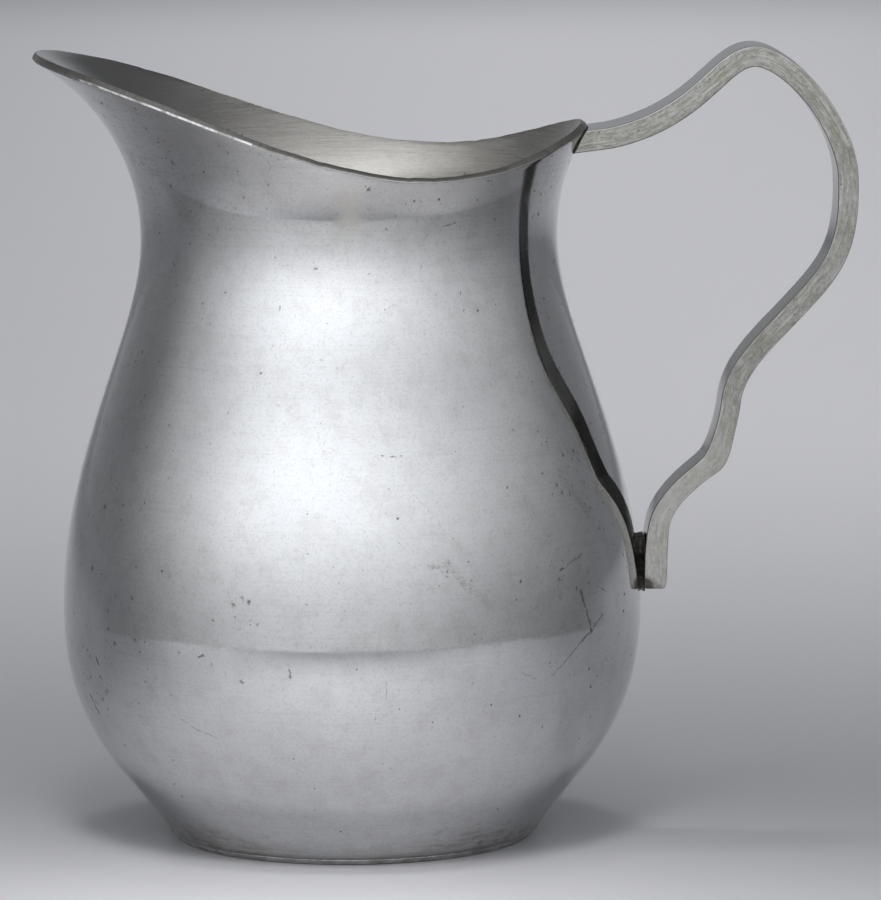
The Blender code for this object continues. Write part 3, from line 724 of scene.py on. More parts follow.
def build_body():
    angle = np.arange(COLUMNS) * 2.0 * math.pi / COLUMNS
    top = rim_height(angle)
    rng = np.random.default_rng(41)
    # The lip is filed by hand, so it wanders a little and carries a few nicks.
    for k, size in ((2, 0.05), (5, 0.05), (11, 0.03), (23, 0.022), (47, 0.016)):
        top = top + size * np.sin(k * angle + rng.uniform(0.0, 2.0 * math.pi))
    for degrees, deep, wide in ((-134.4, 0.05, 0.011), (-131.0, 0.04, 0.009), (-75.0, 0.10, 0.012), (-68.0, 0.11, 0.010), (-98.0, 0.10, 0.02), (52.0, 0.10, 0.012), (140.0, 0.12, 0.011)):
        gap = (angle - math.radians(degrees) + math.pi) % (2.0 * math.pi) - math.pi
        top = top - deep * np.exp(-((gap / wide) ** 2))

    outer_round, inner_round = 0.30, 0.14
    rows = []  # each row: (radius array, height array, height on the wall, finish of the strip above it)
    foot_round = 0.16

    def wall_row(z, depth, finish):
        out, axial = outward(z)
        rows.append((radius(z) - depth * out, z - depth * axial, z, finish))

    # outside: rounded foot edge, belly, neck
    foot = np.full(COLUMNS, FOOT_Z)
    foot_r = radius(foot)
    for turn in (0.0, 0.35, 0.7):
        a = turn * math.pi / 2.0
        rows.append((foot_r - foot_round * (1.0 - math.sin(a)), foot + foot_round * (1.0 - math.cos(a)), foot, 0))
    for z in np.concatenate([np.linspace(FOOT_Z + 0.2, 4.0, 5), np.linspace(5.2, NECK_Z, 64)]):
        wall_row(np.full(COLUMNS, z), 0.0, 0)
    for share in np.linspace(0.0, 1.0, 26)[1:]:
        wall_row(NECK_Z + share * (top - outer_round - NECK_Z), 0.0, 0)
    # lip: rounded outer edge, flat cut, rounded inner edge
    out, axial = outward(top)
    along_r, along_z = -axial, out  # up along the wall
    lip_r, lip_z = radius(top), top
    for a in (0.33, 0.67, 1.0):
        b = a * math.pi / 2.0
        deep, drop = outer_round * (1.0 - math.cos(b)), outer_round * (1.0 - math.sin(b))
        rows.append((lip_r - deep * out - drop * along_r, lip_z - deep * axial - drop * along_z, top, 3 if a < 0.9 else 1))
    for share in (0.25, 0.5, 0.75):
        deep = outer_round + share * (WALL - outer_round - inner_round)
        rows.append((lip_r - deep * out, lip_z - deep * axial, top, 1))
    for a in (0.0, 0.33, 0.67, 1.0):
        b = a * math.pi / 2.0
        deep, drop = WALL - inner_round * (1.0 - math.sin(b)), inner_round * (1.0 - math.cos(b))
        rows.append((lip_r - deep * out - drop * along_r, lip_z - deep * axial - drop * along_z, top, 1 if a < 0.3 else 2))
    # inside, down to the base
    for share in np.linspace(1.0, 0.0, 27)[1:]:
        wall_row(NECK_Z + share * (top - inner_round - NECK_Z), WALL, 2)
    for z in np.linspace(NECK_Z, 2.0, 42)[1:]:
        wall_row(np.full(COLUMNS, z), WALL, 2)
    out, axial = outward(foot)
    rows.append((foot_r - WALL / out, foot, foot, 2))
    rows.append((foot_r - 0.55 * WALL / out, foot, foot, 2))

    wander = waves(7, 40, 46.0, 15.0)
    ripple = waves(19, 30, 10.0, 5.0)
    verts, heights = [], []
    ca, sa = np.cos(angle), np.sin(angle)
    for r, z, wall_z, _ in rows:
        base = np.stack([radius(wall_z) * ca, radius(wall_z) * sa, wall_z], axis=-1)
        push = 0.030 * wander(base) + 0.0022 * ripple(base)
        # a shallow dent below the lip and one low on the back
        for degrees, height, wide, deep in ((-111.3, 93.6, 2.4, 0.07), (100.0, 40.0, 4.0, 0.06), (-30.0, 88.0, 2.6, 0.05)):
            c = np.array([radius(height) * math.cos(math.radians(degrees)), radius(height) * math.sin(math.radians(degrees)), height])
            push = push - deep * np.exp(-(((base - c) ** 2).sum(axis=-1)) / wide**2)
        fade = np.clip((wall_z - 1.5) / 4.0, 0.0, 1.0)
        push = push * fade
        verts.append(np.stack([(r + push) * ca, (r + push) * sa, z], axis=-1))
        heights.append(z)
    count = len(rows)
    faces, spots = ring_faces(count, COLUMNS, close_rows=True)
    groups = [rows[r][3] for r, _ in spots]
    # the outer edge of the lip is worn on the left of the spout only, and there it takes the near-white finish with its
    # painted highlight
    side_angle = (np.degrees(angle) + 180.0) % 360.0 - 180.0
    groups = [g if g < 3 or -154.0 < side_angle[c] < -114.0 else 1 for g, (_, c) in zip(groups, spots)]

    # Map for the finishes: round the body across, foot to lip to inside up.
    mean_r = [float(np.mean(r)) for r, *_ in rows]
    mean_z = [float(np.mean(z)) for _, z, *_ in rows]
    run = [0.0]
    for i in range(count):
        j = (i + 1) % count
        run.append(run[-1] + math.hypot(mean_r[j] - mean_r[i], mean_z[j] - mean_z[i]))
    level = 0.004 + 0.992 * np.array(run) / run[-1]
    side = 0.004 + 0.992 * np.arange(COLUMNS + 1) / COLUMNS
    uv = []
    for r, c in spots:
        uv += [(side[c], level[r]), (side[c + 1], level[r]), (side[c + 1], level[r + 1]), (side[c], level[r + 1])]
    body = make_object("creamer_body", np.concatenate(verts), faces, groups, (polished_body(), cut_edge(False), satin_inside(), cut_edge(True)), {"OFBake": uv})
    return body


# ------------------------------------------------------------------ base plate and its solder ring


def turned_piece(name, profile, columns, groups, finishes, centre_bottom=False, centre_top=False, rough=None):
    """Turns a closed profile of (radius, height) points; open ends at the axis are closed with a point."""
    angle = np.arange(columns) * 2.0 * math.pi / columns
    verts = []
    for k, (r, z) in enumerate(profile):
        ring = np.stack([r * np.cos(angle), r * np.sin(angle), np.full(columns, z)], axis=-1)
        verts.append(ring if rough is None else rough(ring, k))
    closed = not (centre_bottom or centre_top)
    faces, spots = ring_faces(len(profile), columns, close_rows=closed)
    kinds = [groups[r] for r, _ in spots]
    points = np.concatenate(verts)
    if centre_bottom:
        points = np.concatenate([points, [[0.0, 0.0, profile[0][1]]]])
        faces += [((c + 1) % columns, c, len(points) - 1) for c in range(columns)]
        kinds += [groups[0]] * columns
    if centre_top:
        points = np.concatenate([points, [[0.0, 0.0, profile[-1][1]]]])
        start = (len(profile) - 1) * columns
        faces += [(start + c, start + (c + 1) % columns, len(points) - 1) for c in range(columns)]
        kinds += [groups[-1]] * columns
    return make_object(name, points, faces, kinds, finishes)


def build_base():
    edge = 0.26
    profile = [(r, 0.0) for r in (4.0, 8.0, 12.0, 16.0, 19.5, 22.0, 23.4)]
    profile.append((BASE_R_LOW - edge - 0.06, 0.0))
    for a in (0.0, 0.25, 0.5, 0.75, 1.0):
        b = a * math.pi / 2.0
        profile.append((BASE_R_LOW - edge + edge * math.sin(b), edge - edge * math.cos(b)))
    profile += [(BASE_R_TOP - 0.14, 0.56), (BASE_R_TOP - 0.06, 0.68), (BASE_R_TOP - 0.12, 0.76), (BASE_R_TOP - 0.24, BASE_T)]
    profile += [(r, BASE_T) for r in (24.2, 23.0, 21.0, 18.0, 14.0, 9.0, 4.0)]
    finishes = (turned_base(), satin_inside_floor())
    groups = [0 if k < len(profile) - 7 else 1 for k in range(len(profile))]
    return turned_piece("creamer_base", profile, 256, groups, finishes, centre_bottom=True, centre_top=True)


def satin_inside_floor():
    """Floor of the jug: the same satin as the inside wall, with rings round the centre."""
    made, n, shader, place = start_material("pewter_satin_floor")
    x, y, z = n.split(place)
    reach = n.math("SQRT", n.add(n.mul(x, x), n.mul(y, y)))
    lines = n.noise(n.join(n.mul(reach, 3.0), n.mul(n.math("ARCTAN2", y, x), 0.3), 0.0), 1.0, 4.0, 0.65)
    cloud = n.noise(place, 0.14, 4.0, 0.6)
    colour = n.mix(n.ramp(lines, 0.3, 0.7), (0.40, 0.385, 0.35), (0.52, 0.505, 0.475))
    colour = n.mix(n.mul(n.ramp(cloud, 0.42, 0.70), 0.5), colour, (0.30, 0.29, 0.26))
    n.put(shader.inputs["Base Color"], colour)
    n.put(shader.inputs["Roughness"], n.ramp(cloud, 0.3, 0.7, 0.30, 0.44))
    n.put(shader.inputs["Normal"], n.bump(lines, 0.000006))
    return made


def build_seam():
    a, b, c, d = (np.array(p) for p in SEAM_SECTION)
    profile = []
    for start, end, steps in ((a, b, 3), (b, c, 4)):
        profile += [tuple(start + (end - start) * k / steps) for k in range(steps)]
    for k in range(9):  # hollow face of the fillet, from the base plate up to the wall
        t = k / 8.0
        profile.append(tuple((1 - t) ** 2 * c + 2 * t * (1 - t) * (d + (d - 0.5 * (a + c)) * 0.2) + t * t * a))
    profile = profile[:-1]
    lumps, fine = waves(5, 24, 9.0, 2.5), waves(6, 24, 2.2, 0.9)
    last = len(profile)

    def rough(ring, k):
        if k < 7 or k >= last:
            return ring
        move = 0.10 * lumps(ring) + 0.03 * fine(ring)
        length = np.hypot(ring[:, 0], ring[:, 1])
        shift = (1.0 - 0.7 * move / length)[:, None]
        moved = ring.copy()
        moved[:, :2] *= shift
        moved[:, 2] += 0.7 * move * (1.0 if k > 8 else 0.0)
        return moved

    profile.reverse()  # so that the faces point out
    count = len(profile)
    return turned_piece(
        "base_solder_ring",
        profile,
        256,
        [0] * count,
        (solder("solder_at_base", (0.30, 0.295, 0.275), (0.50, 0.495, 0.475), 0.16),),
        rough=lambda ring, k: rough(ring, count - 1 - k),
    )


# ------------------------------------------------------------------ handle


def handle_line():
    """Points, headings and thickness along the strap's centre line."""
    points, turns = [], []
    for (x0, z0, h0, _, out), (x1, z1, h1, reach, _) in zip(HANDLE_PATH, HANDLE_PATH[1:]):
        p0, p3 = np.array([x0, z0]), np.array([x1, z1])
        p1 = p0 + out * np.array([math.cos(math.radians(h0)), math.sin(math.radians(h0))])
        p2 = p3 - reach * np.array([math.cos(math.radians(h1)), math.sin(math.radians(h1))])
        steps = max(24, int(np.linalg.norm(p3 - p0) * 3.2))
        for k in range(steps):
            t = k / steps
            points.append((1 - t) ** 3 * p0 + 3 * (1 - t) ** 2 * t * p1 + 3 * (1 - t) * t**2 * p2 + t**3 * p3)
    points.append(np.array(HANDLE_PATH[-1][:2], float))
    points = np.array(points)
    run = np.concatenate([[0.0], np.cumsum(np.linalg.norm(np.diff(points, axis=0), axis=1))])
    even = np.linspace(0.0, run[-1], int(run[-1] / 0.42))
    points = np.stack([np.interp(even, run, points[:, 0]), np.interp(even, run, points[:, 1])], axis=-1)
    way = np.gradient(points, axis=0)
    way /= np.linalg.norm(way, axis=1)[:, None]
    return points, way, even


def uncross(side, way):
    """Where a face of the strap would fold back on itself in a tight bend, leaves a small crease instead."""
    step = np.diff(side, axis=0)
    back = np.where((step * way[:-1]).sum(axis=1) < 0.04)[0]
    if len(back) == 0:
        return side
    first, last = back[0], back[-1] + 1
    best = None
    for i in range(first, max(first - 14, 1), -1):
        for j in range(last, min(last + 14, len(side) - 1)):
            gap = np.linalg.norm(side[i] - side[j])
            if best is None or gap < best[0]:
                best = (gap, i, j)
    _, i, j = best
    i, j = i - 1, j + 1
    made = side.copy()
    for k in range(i + 1, j):
        t = (k - i) / (j - i)
        made[k] = side[i] + (side[j] - side[i]) * t
    return made


def build_handle():
    line, way, run = handle_line()
    length = run[-1]
    share = run / length
    thick = HANDLE_T_TOP + (HANDLE_T_END - HANDLE_T_TOP) * share
    kink = np.hypot(line[:, 0] - 49.6, line[:, 1] - 52.0)
    thick = thick + 0.36 * np.exp(-((kink / 2.2) ** 2))
    wide = HANDLE_W_TOP + (HANDLE_W_END - HANDLE_W_TOP) * share
    normal = np.stack([-way[:, 1], way[:, 0]], axis=-1)  # to the left of travel: the strap's outer face
    outer = uncross(line + normal * (0.5 * thick)[:, None], way)
    tab = np.clip((13.0 - (length - run)) / 9.0, 0.0, 1.0)
    tab = 0.46 * tab * tab * (3.0 - 2.0 * tab)  # the strap is thicker at its lower end, on the side of the belly
    inner = uncross(line - normal * (0.5 * thick + tab)[:, None], way)
    near_kink = np.exp(-((kink / 2.6) ** 2))[1:-1, None]
    for _ in range(14):  # the strap was bent over a round bar, so the crease inside the kink is soft
        inner[1:-1] += 0.5 * near_kink * (0.5 * (inner[:-2] + inner[2:]) - inner[1:-1])
    middle = 0.5 * (outer + inner)
    across = outer - inner
    half_t = 0.5 * np.linalg.norm(across, axis=1)
    across /= np.linalg.norm(across, axis=1)[:, None]

    # Section: a rectangle with eased corners, walked round once.
    corner = 0.12
    arcs = 3
    shares = (-0.93, -0.6, -0.2, 0.2, 0.6, 0.93)
    BROAD, NARROW, INNER = 0, 1, 2

    def ring(k):
        t, w = half_t[k], 0.5 * wide[k]
        c = min(corner, 0.45 * t)
        pts, kinds = [], []
        crown = 0.035

        def corner_points(st, sw, leaving_broad):
            for q in range(arcs + 1):
                b = q / arcs * math.pi / 2.0
                u, v = (math.cos(b), math.sin(b)) if leaving_broad else (math.sin(b), math.cos(b))
                pts.append((st * (t - c + c * u), sw * (w - c + c * v)))
                # the inner corners share the inside face's finish and its painted shade
                face = BROAD if st > 0.0 else INNER
                kinds.append(face if q < arcs or not leaving_broad else NARROW)

        inner_w, inner_t = w - c, t - c
        # outer broad face, from back (+w) to front (-w)
        for s in shares:
            pts.append((t + crown * (1 - s * s), -s * inner_w))
            kinds.append(BROAD)
        corner_points(1.0, -1.0, True)
        # front narrow face, from outer to inner
        for s in (0.86, 0.4, -0.4, -0.86):
            pts.append((s * inner_t, -w - 0.02 * (1 - s * s)))
            kinds.append(NARROW)
        corner_points(-1.0, -1.0, False)
        # inner broad face, front to back
        for s in shares:
            pts.append((-t - 0.6 * crown * (1 - s * s), s * inner_w))
            kinds.append(INNER)
        corner_points(-1.0, 1.0, True)
        for s in (-0.86, -0.4, 0.4, 0.86):
            pts.append((s * inner_t, w + 0.02 * (1 - s * s)))
            kinds.append(NARROW)
        corner_points(1.0, 1.0, False)
        return np.array(pts), kinds

    wobble = waves(11, 30, 16.0, 6.0)
    begin = int(np.argmax(line[:, 0] > 34.6))
    rings, lengths = [], []
    sample, kinds = ring(begin)
    count = len(sample)

    # Coped end: each edge of the section runs on until it meets the back of the neck.
    def at(k):
        pts, _ = ring(k)
        spot = middle[k][None, :] + across[k][None, :] * pts[:, :1]
        return np.stack([spot[:, 0], pts[:, 1], spot[:, 1]], axis=-1)

    first = at(begin)
    low = int(np.argmax(line[:, 0] > 31.2))
    slope = (middle[begin] - middle[low]) / np.linalg.norm(middle[begin] - middle[low])
    meet = first.copy()
    for _ in range(40):
        want = radius(meet[:, 2]) + 0.07 * np.hypot(1.0, radius_slope(meet[:, 2]))
        goal = np.sqrt(np.maximum(want**2 - meet[:, 1] ** 2, 1.0))
        move = goal - meet[:, 0]
        meet[:, 0] += 0.6 * move
        meet[:, 2] += 0.6 * move * slope[1] / slope[0]
    for s in (0.0, 0.06, 0.2, 0.4, 0.6, 0.8):
        rings.append(meet + (first - meet) * s)
        lengths.append(run[begin] - (1 - s) * 3.0)
    for k in range(begin, len(line)):
        rings.append(at(k))
        lengths.append(run[k])
    # Lower end: a sawn end with its edges eased, a little more on the outer corner.
    end, heading = rings[-1], np.array([way[-1][0], 0.0, way[-1][1]])
    centre = end.mean(axis=0)
    rings = rings[:-2]
    lengths = lengths[:-2]
    ease = 0.34
    outward_side = np.array([across[-1][0], 0.0, across[-1][1]])
    for q in range(1, 6):
        b = q / 5.0 * math.pi / 2.0
        inset, drop = ease * (1 - math.cos(b)), ease * (1 - math.sin(b))
        offset = end - centre
        t_part = (offset @ outward_side)[:, None] * outward_side[None, :]
        w_part = offset - t_part
        t_size = np.abs(offset @ outward_side).max()
        w_size = np.abs(w_part[:, 1]).max()
        rings.append(centre + t_part * (1 - inset / t_size) + w_part * (1 - inset / w_size) - heading * drop)
        lengths.append(run[-1] - drop)
    # The outer corner of the tab is worn round.
    corner_zone = 1.5
    for k in range(len(rings)):
        to_end = run[-1] - lengths[k]
        if to_end < corner_zone:
            offset = (rings[k] - centre) @ outward_side
            pull = 0.35 * ((corner_zone - to_end) / corner_zone) ** 2
            factor = np.clip(offset / 1.3, 0.0, 1.0) ** 2
            rings[k] = rings[k] - outward_side[None, :] * (pull * factor)[:, None]
    rings = [r + 0.035 * wobble(r)[:, None] * np.array([0.6, 0.0, 0.8]) * min(1.0, k / 12.0) for k, r in enumerate(rings)]

    rows = len(rings)
    faces, spots = ring_faces(rows, count)
    groups = [kinds[c] for _, c in spots]
    points = np.concatenate(rings)
    girth = np.concatenate([[0.0], np.cumsum(np.linalg.norm(np.diff(np.vstack([sample, sample[:1]]), axis=0), axis=1))])
    strap_uv = []
    for r, c in spots:
        strap_uv += [
            (lengths[r] * MM, girth[c] * MM),
            (lengths[r] * MM, girth[c + 1] * MM),
            (lengths[r + 1] * MM, girth[c + 1] * MM),
            (lengths[r + 1] * MM, girth[c] * MM),
        ]
    # ends, closed with a fan
    for r, flip in ((0, False), (rows - 1, True)):
        hub = rings[r].mean(axis=0)
        points = np.concatenate([points, [hub]])
        for c in range(count):
            nxt = (c + 1) % count
            face = (r * count + nxt, r * count + c, len(points) - 1)
            faces.append(face[::-1] if flip else face)
            groups.append(NARROW)
            for v in faces[-1]:
                p = points[v] - hub
                strap_uv.append((p[1] * MM, float(p @ outward_side) * MM))
    made = make_object("strap_handle", points, faces, groups, (polished_strap("pewter_polished_strap", False), brushed_strap(), polished_strap("pewter_strap_painted_shade", True)), {"strap": strap_uv})
    return made, rings, count


# ------------------------------------------------------------------ solder at the handle's ends


def build_upper_solder(rings, count):
    """A thin collar of solder round the strap's coped end, drawn up on to the strap and out on to the wall."""
    end, nxt = rings[0], rings[5]
    centre = end.mean(axis=0)
    lumps, fine = waves(23, 24, 5.0, 1.6), waves(29, 24, 1.5, 0.6)
    section = 9
    loops = []
    for c in range(count):
        p = end[c]
        side = p - centre
        side[0] = 0.0
        side /= np.linalg.norm(side)
        along = nxt[c] - p
        along /= np.linalg.norm(along)
        bump = 0.07 * lumps(p) + 0.03 * fine(p)
        up, out = 0.20 + bump, 0.24 + 0.8 * bump
        base = p - along * 0.07
        foot = base + side * out
        # the foot of the fillet lies on the wall
        z = foot[2]
        want = float(radius(z))
        foot[0] = math.sqrt(max(want**2 - foot[1] ** 2, 1.0)) + 0.01
        head = p + along * up + side * 0.015
        hollow = base + side * 0.06 + along * 0.06
        loop = []
        for k in range(section - 3):
            t = k / (section - 4)
            loop.append((1 - t) ** 2 * foot + 2 * t * (1 - t) * hollow + t * t * head)
        loop.append(p + along * up * 0.6 - side * 0.12)
        loop.append(base - side * 0.30 + along * 0.05)
        loop.append(foot - side * 0.15 - np.array([0.12, 0.0, 0.0]))
        loops.append(loop)
    loops = np.array(loops)  # count x section x 3
    points = loops.transpose(1, 0, 2).reshape(-1, 3)
    faces, spots = ring_faces(section, count, close_rows=True)
    faces = [f[::-1] for f in faces]
    return make_object(
        "upper_solder",
        points,
        faces,
        [0] * len(faces),
        (solder("solder_at_rim", (0.070, 0.064, 0.054), (0.26, 0.25, 0.225), 0.02),),
    )


def build_lower_solder():
    """A lump of solder that fills the wedge between belly and tab, sunk in at its sides, with blowholes in front and a drip below."""
    nu, nv, nw = 12, 36, 22
    lumps, fine = waves(31, 30, 5.0, 1.8), waves(37, 30, 1.6, 0.6)
    tab_x = HANDLE_PATH[-1][0] - 0.5 * HANDLE_T_END - 0.46
    low, high, half = 33.5, 40.6, 3.35
    holes = ((-0.25, 38.9, 0.34, 0.30), (0.40, 37.7, 0.46, 0.90), (-0.10, 36.7, 0.36, 0.60), (0.45, 35.7, 0.40, 0.70), (-0.30, 34.7, 0.30, 0.30))

    def spot(u, v, w):
        """u across the gap, v up, w along Y, each from -1 to 1, on the surface of a box."""
        grip = 0.10
        s = np.array([v, w])
        far = max(abs(v), abs(w))
        if far > 1e-6:
            norm = (abs(v) ** 6 + abs(w) ** 6) ** (1.0 / 6.0)
            s = s * (1 - grip + grip * far / norm)
        vv, ww = s
        z = 0.5 * (low + high) + 0.5 * (high - low) * vv
        free = 1 - u * u
        y = ww * (half - 0.38 * free)
        z = z - 0.16 * free * (vv if vv > 0 else 0.3 * vv)
        inside = math.sqrt(float(radius(z)) ** 2 - y * y) - 0.12
        x = inside + (tab_x + 0.10 - inside) * 0.5 * (u + 1)
        p = np.array([x, y, z])
        out = np.array([0.0, ww * (1.0 if abs(ww) > 0.8 else 0.0), vv * (1.0 if abs(vv) > 0.8 else 0.0)])
        p = p + out * free * (0.12 * lumps(p) + 0.06 * fine(p))
        if ww < -0.8:  # blowholes in the front
            for at, height, wide, deep in holes:
                p[1] += deep * math.exp(-(((u - at) * 0.5 / 0.27) ** 2) - ((z - height) / wide) ** 2) * free**0.5
        if vv < -0.8:  # drip at the front of the lower edge
            p[2] -= 0.34 * math.exp(-(((x - 39.75) / 0.45) ** 2 + ((y + 2.7) / 0.8) ** 2))
        return p

    index, points, faces = {}, [], []

    def vert(i, j, k):
        key = (i, j, k)
        if key not in index:
            index[key] = len(points)
            points.append(spot(2.0 * i / nu - 1, 2.0 * j / nv - 1, 2.0 * k / nw - 1))
        return index[key]

    for j in range(nv):
        for k in range(nw):
            faces.append((vert(0, j, k), vert(0, j, k + 1), vert(0, j + 1, k + 1), vert(0, j + 1, k)))
            faces.append((vert(nu, j, k), vert(nu, j + 1, k), vert(nu, j + 1, k + 1), vert(nu, j, k + 1)))
    for i in range(nu):
        for k in range(nw):
            faces.append((vert(i, 0, k), vert(i + 1, 0, k), vert(i + 1, 0, k + 1), vert(i, 0, k + 1)))
            faces.append((vert(i, nv, k), vert(i, nv, k + 1), vert(i + 1, nv, k + 1), vert(i + 1, nv, k)))
        for j in range(nv):
            faces.append((vert(i, j, 0), vert(i, j + 1, 0), vert(i + 1, j + 1, 0), vert(i + 1, j, 0)))
            faces.append((vert(i, j, nw), vert(i + 1, j, nw), vert(i + 1, j + 1, nw), vert(i, j + 1, nw)))
    return make_object(
        "lower_solder",
        points,
        faces,
        [0] * len(faces),
        (solder("solder_at_tab", (0.080, 0.073, 0.063), (0.50, 0.46, 0.43), 0.12),),
    )


# ------------------------------------------------------------------ pieces on the frame

body = build_body()
base = build_base()
seam = build_seam()
handle, handle_rings, handle_count = build_handle()
upper = build_upper_solder(handle_rings, handle_count)
lower = build_lower_solder()

for piece, node, slot in (
    (body, "body_shell", "pewter_body"),
    (base, "base_disc", "pewter_base"),
    (seam, "base_solder_seam", "solder_base"),
    (handle, "handle", "pewter_handle"),
    (upper, "handle_upper_solder", "solder_upper"),
    (lower, "handle_lower_solder", "solder_lower"),
):
    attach(piece, "root")
    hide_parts(node)

# ------------------------------------------------------------------ floor, light, camera


def build_floor():
    mesh = bpy.data.meshes.new("pale_floor")
    reach = 30.0
    mesh.from_pydata([(-reach, -reach, 0.0), (reach, -reach, 0.0), (reach, reach, 0.0), (-reach, reach, 0.0)], [], [(0, 1, 2, 3)])
    finish = bpy.data.materials.new("pale_floor")
    finish.use_nodes = True
    shader = finish.node_tree.nodes["Principled BSDF"]
    shader.inputs["Base Color"].default_value = (0.624, 0.620, 0.642, 1.0)
    shader.inputs["Roughness"].default_value = 0.42
    shader.inputs["Specular IOR Level"].default_value = 0.35
    mesh.materials.append(finish)
    made = bpy.data.objects.new("pale_floor", mesh)
    made.location = (0.0, 0.0, -0.00005)
    bpy.context.scene.collection.objects.link(made)


def bell(n, value, middle, below, above):
    """A soft bell: 1 at its middle, falling off over one width below it and another above it."""
    off = n.sub(value, middle)
    part = n.math("DIVIDE", off, n.blend(n.math("GREATER_THAN", off, 0.0), below, above))
    return n.math("EXPONENT", n.mul(n.mul(part, part), -0.5))


def turn_degrees(n, x, y):
    """Direction round the object in degrees: 0 is the front, and to the right is positive."""
    return n.mul(n.math("ARCTAN2", x, n.mul(y, -1.0)), 180.0 / math.pi)


def build_sky():
    """Soft studio surround: pale behind near the floor, dark flanks, a soft ceiling that is brighter towards the front."""
    world = bpy.data.worlds.new("studio")
    bpy.context.scene.world = world
    world.use_nodes = True
    tree = world.node_tree
    tree.nodes.clear()
    n = Nodes(tree)
    coordinates = n.new("ShaderNodeTexCoord")
    x, y, z = n.split(coordinates.outputs["Generated"])
    turn = turn_degrees(n, x, y)
    rise = n.mul(n.math("ARCSINE", z), 180.0 / math.pi)

    behind = bell(n, n.math("ABSOLUTE", turn), 180.0, 26.0, 26.0)
    ahead = bell(n, turn, 0.0, 52.0, 58.0)
    low = n.add(n.add(n.mul(behind, 0.18), n.mul(ahead, 0.45)), 0.15)
    middle = n.add(n.mul(ahead, 0.55), 0.10)
    top = n.add(n.mul(ahead, 0.24), 0.34)
    strength = n.blend(n.ramp(rise, 6.0, 24.0), low, middle)
    strength = n.blend(n.ramp(rise, 42.0, 66.0), strength, top)
    seen = n.new("ShaderNodeLightPath").outputs["Is Camera Ray"]
    strength = n.blend(seen, strength, 0.50)
    background = n.new("ShaderNodeBackground")
    background.inputs["Color"].default_value = (0.965, 0.992, 1.045, 1.0)
    n.put(background.inputs["Strength"], strength)
    out = n.new("ShaderNodeOutputWorld")
    n.put(out.inputs["Surface"], background.outputs[0])


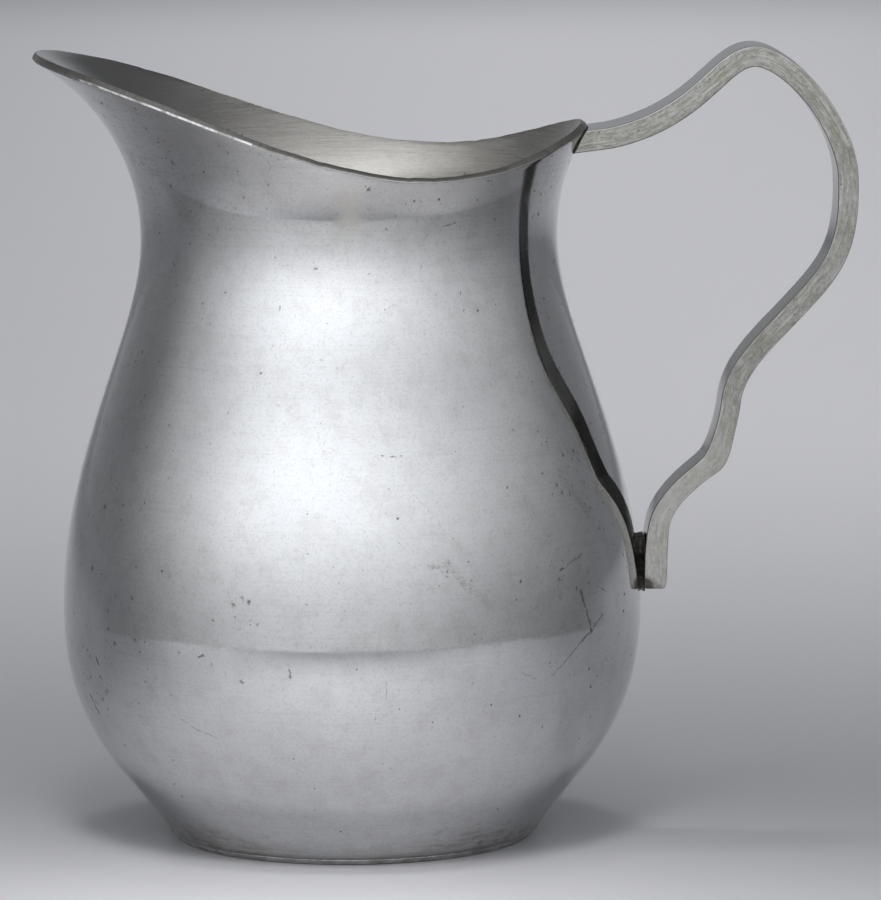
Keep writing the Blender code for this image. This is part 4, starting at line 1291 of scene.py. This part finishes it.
def build_sweep():
    """A plain curved softbox that wraps the front: it leaves the floor in a cove, stands up, and is brightest left of the middle."""
    high, half, wall, cove = 0.61, math.radians(120.0), 0.270, 0.060
    columns, bend, rows = 120, 10, 10
    line = []
    for k in range(bend + 1):
        t = 0.5 * math.pi * k / bend
        line.append((wall - cove + cove * math.sin(t), 0.0005 + cove * (1.0 - math.cos(t))))
    line += [(wall, cove + (high - cove) * k / rows) for k in range(1, rows + 1)]
    verts, faces = [], []
    for i in range(columns + 1):
        a = -half + 2.0 * half * i / columns
        verts += [(r * math.sin(a), -r * math.cos(a), z) for r, z in line]
    for i in range(columns):
        for j in range(len(line) - 1):
            k = i * len(line) + j
            faces.append((k, k + len(line), k + len(line) + 1, k + 1))
    mesh = bpy.data.meshes.new("softbox_sweep")
    mesh.from_pydata(verts, [], faces)
    glow = bpy.data.materials.new("softbox_sweep")
    glow.use_nodes = True
    tree = glow.node_tree
    tree.nodes.clear()
    n = Nodes(tree)
    coordinates = n.new("ShaderNodeTexCoord")
    x, y, z = n.split(coordinates.outputs["Object"])
    turn = turn_degrees(n, x, y)
    around = n.add(n.mul(bell(n, turn, -22.0, 36.0, 56.0), 0.97), 0.14)
    upward = n.add(n.mul(bell(n, z, 0.16, 0.075, 0.06), 0.84), 0.64)
    emission = n.new("ShaderNodeEmission")
    emission.inputs["Color"].default_value = (0.978, 0.995, 1.027, 1.0)
    n.put(emission.inputs["Strength"], n.mul(around, upward))
    thin = n.new("ShaderNodeMixShader")
    n.put(thin.inputs[0], n.ramp(n.math("ABSOLUTE", turn), 120.0, 84.0))  # it thins out towards its ends
    n.put(thin.inputs[1], n.new("ShaderNodeBsdfTransparent").outputs[0])
    n.put(thin.inputs[2], emission.outputs[0])
    out = n.new("ShaderNodeOutputMaterial")
    n.put(out.inputs["Surface"], thin.outputs[0])
    mesh.materials.append(glow)
    for face in mesh.polygons:
        face.use_smooth = True
    made = bpy.data.objects.new("softbox_sweep", mesh)
    made.visible_camera = made.visible_diffuse = made.visible_shadow = False  # it leaves no edge on the floor
    bpy.context.scene.collection.objects.link(made)


def area_light(name, place, aim, size, power, spread=180.0):
    data = bpy.data.lights.new(name, "AREA")
    data.shape = "RECTANGLE"
    data.size, data.size_y = size
    data.energy = power
    data.spread = math.radians(spread)
    made = bpy.data.objects.new(name, data)
    made.location = Vector(place)
    made.rotation_euler = (Vector(aim) - Vector(place)).to_track_quat("-Z", "Y").to_euler()
    made.visible_camera = False
    made.visible_glossy = False  # these only light the floor
    bpy.context.scene.collection.objects.link(made)


def build_camera():
    data = bpy.data.cameras.new("camera")
    data.sensor_fit = "AUTO"
    data.sensor_width = 36.0
    data.lens = 269.04
    data.clip_start, data.clip_end = 0.05, 60.0
    made = bpy.data.objects.new("camera", data)
    bpy.context.scene.collection.objects.link(made)
    pitch, yaw, roll = math.radians(7.626), math.radians(1.465), math.radians(0.402)
    ahead = Vector((math.sin(yaw) * math.cos(pitch), math.cos(yaw) * math.cos(pitch), -math.sin(pitch)))
    flat_right = Vector((math.cos(yaw), -math.sin(yaw), 0.0))
    flat_up = flat_right.cross(ahead)
    right = math.cos(roll) * flat_right - math.sin(roll) * flat_up
    up = math.sin(roll) * flat_right + math.cos(roll) * flat_up
    place = Matrix((right, up, -ahead)).transposed().to_4x4()
    place.translation = Vector((-10.99, -906.91, 173.94)) * MM
    made.matrix_world = place
    bpy.context.scene.camera = made


build_floor()
build_sky()
build_sweep()
area_light("back_softbox", (0.10, 0.95, 1.9), (0.10, 0.95, 0.0), (0.5, 1.6), 1.6, spread=20.0)
area_light("front_softbox", (-0.066, -0.22, 0.50), (-0.066, -0.12, 0.0), (0.50, 0.08), 0.16, spread=25.5)
area_light("near_softbox", (-0.017, -0.21, 0.24), (-0.017, -0.064, 0.0), (0.06, 0.10), 0.023, spread=37.0)
build_camera()

view = bpy.context.scene.view_settings
view.view_transform = "Standard"
view.look = "None"

bpy.context.view_layer.update()
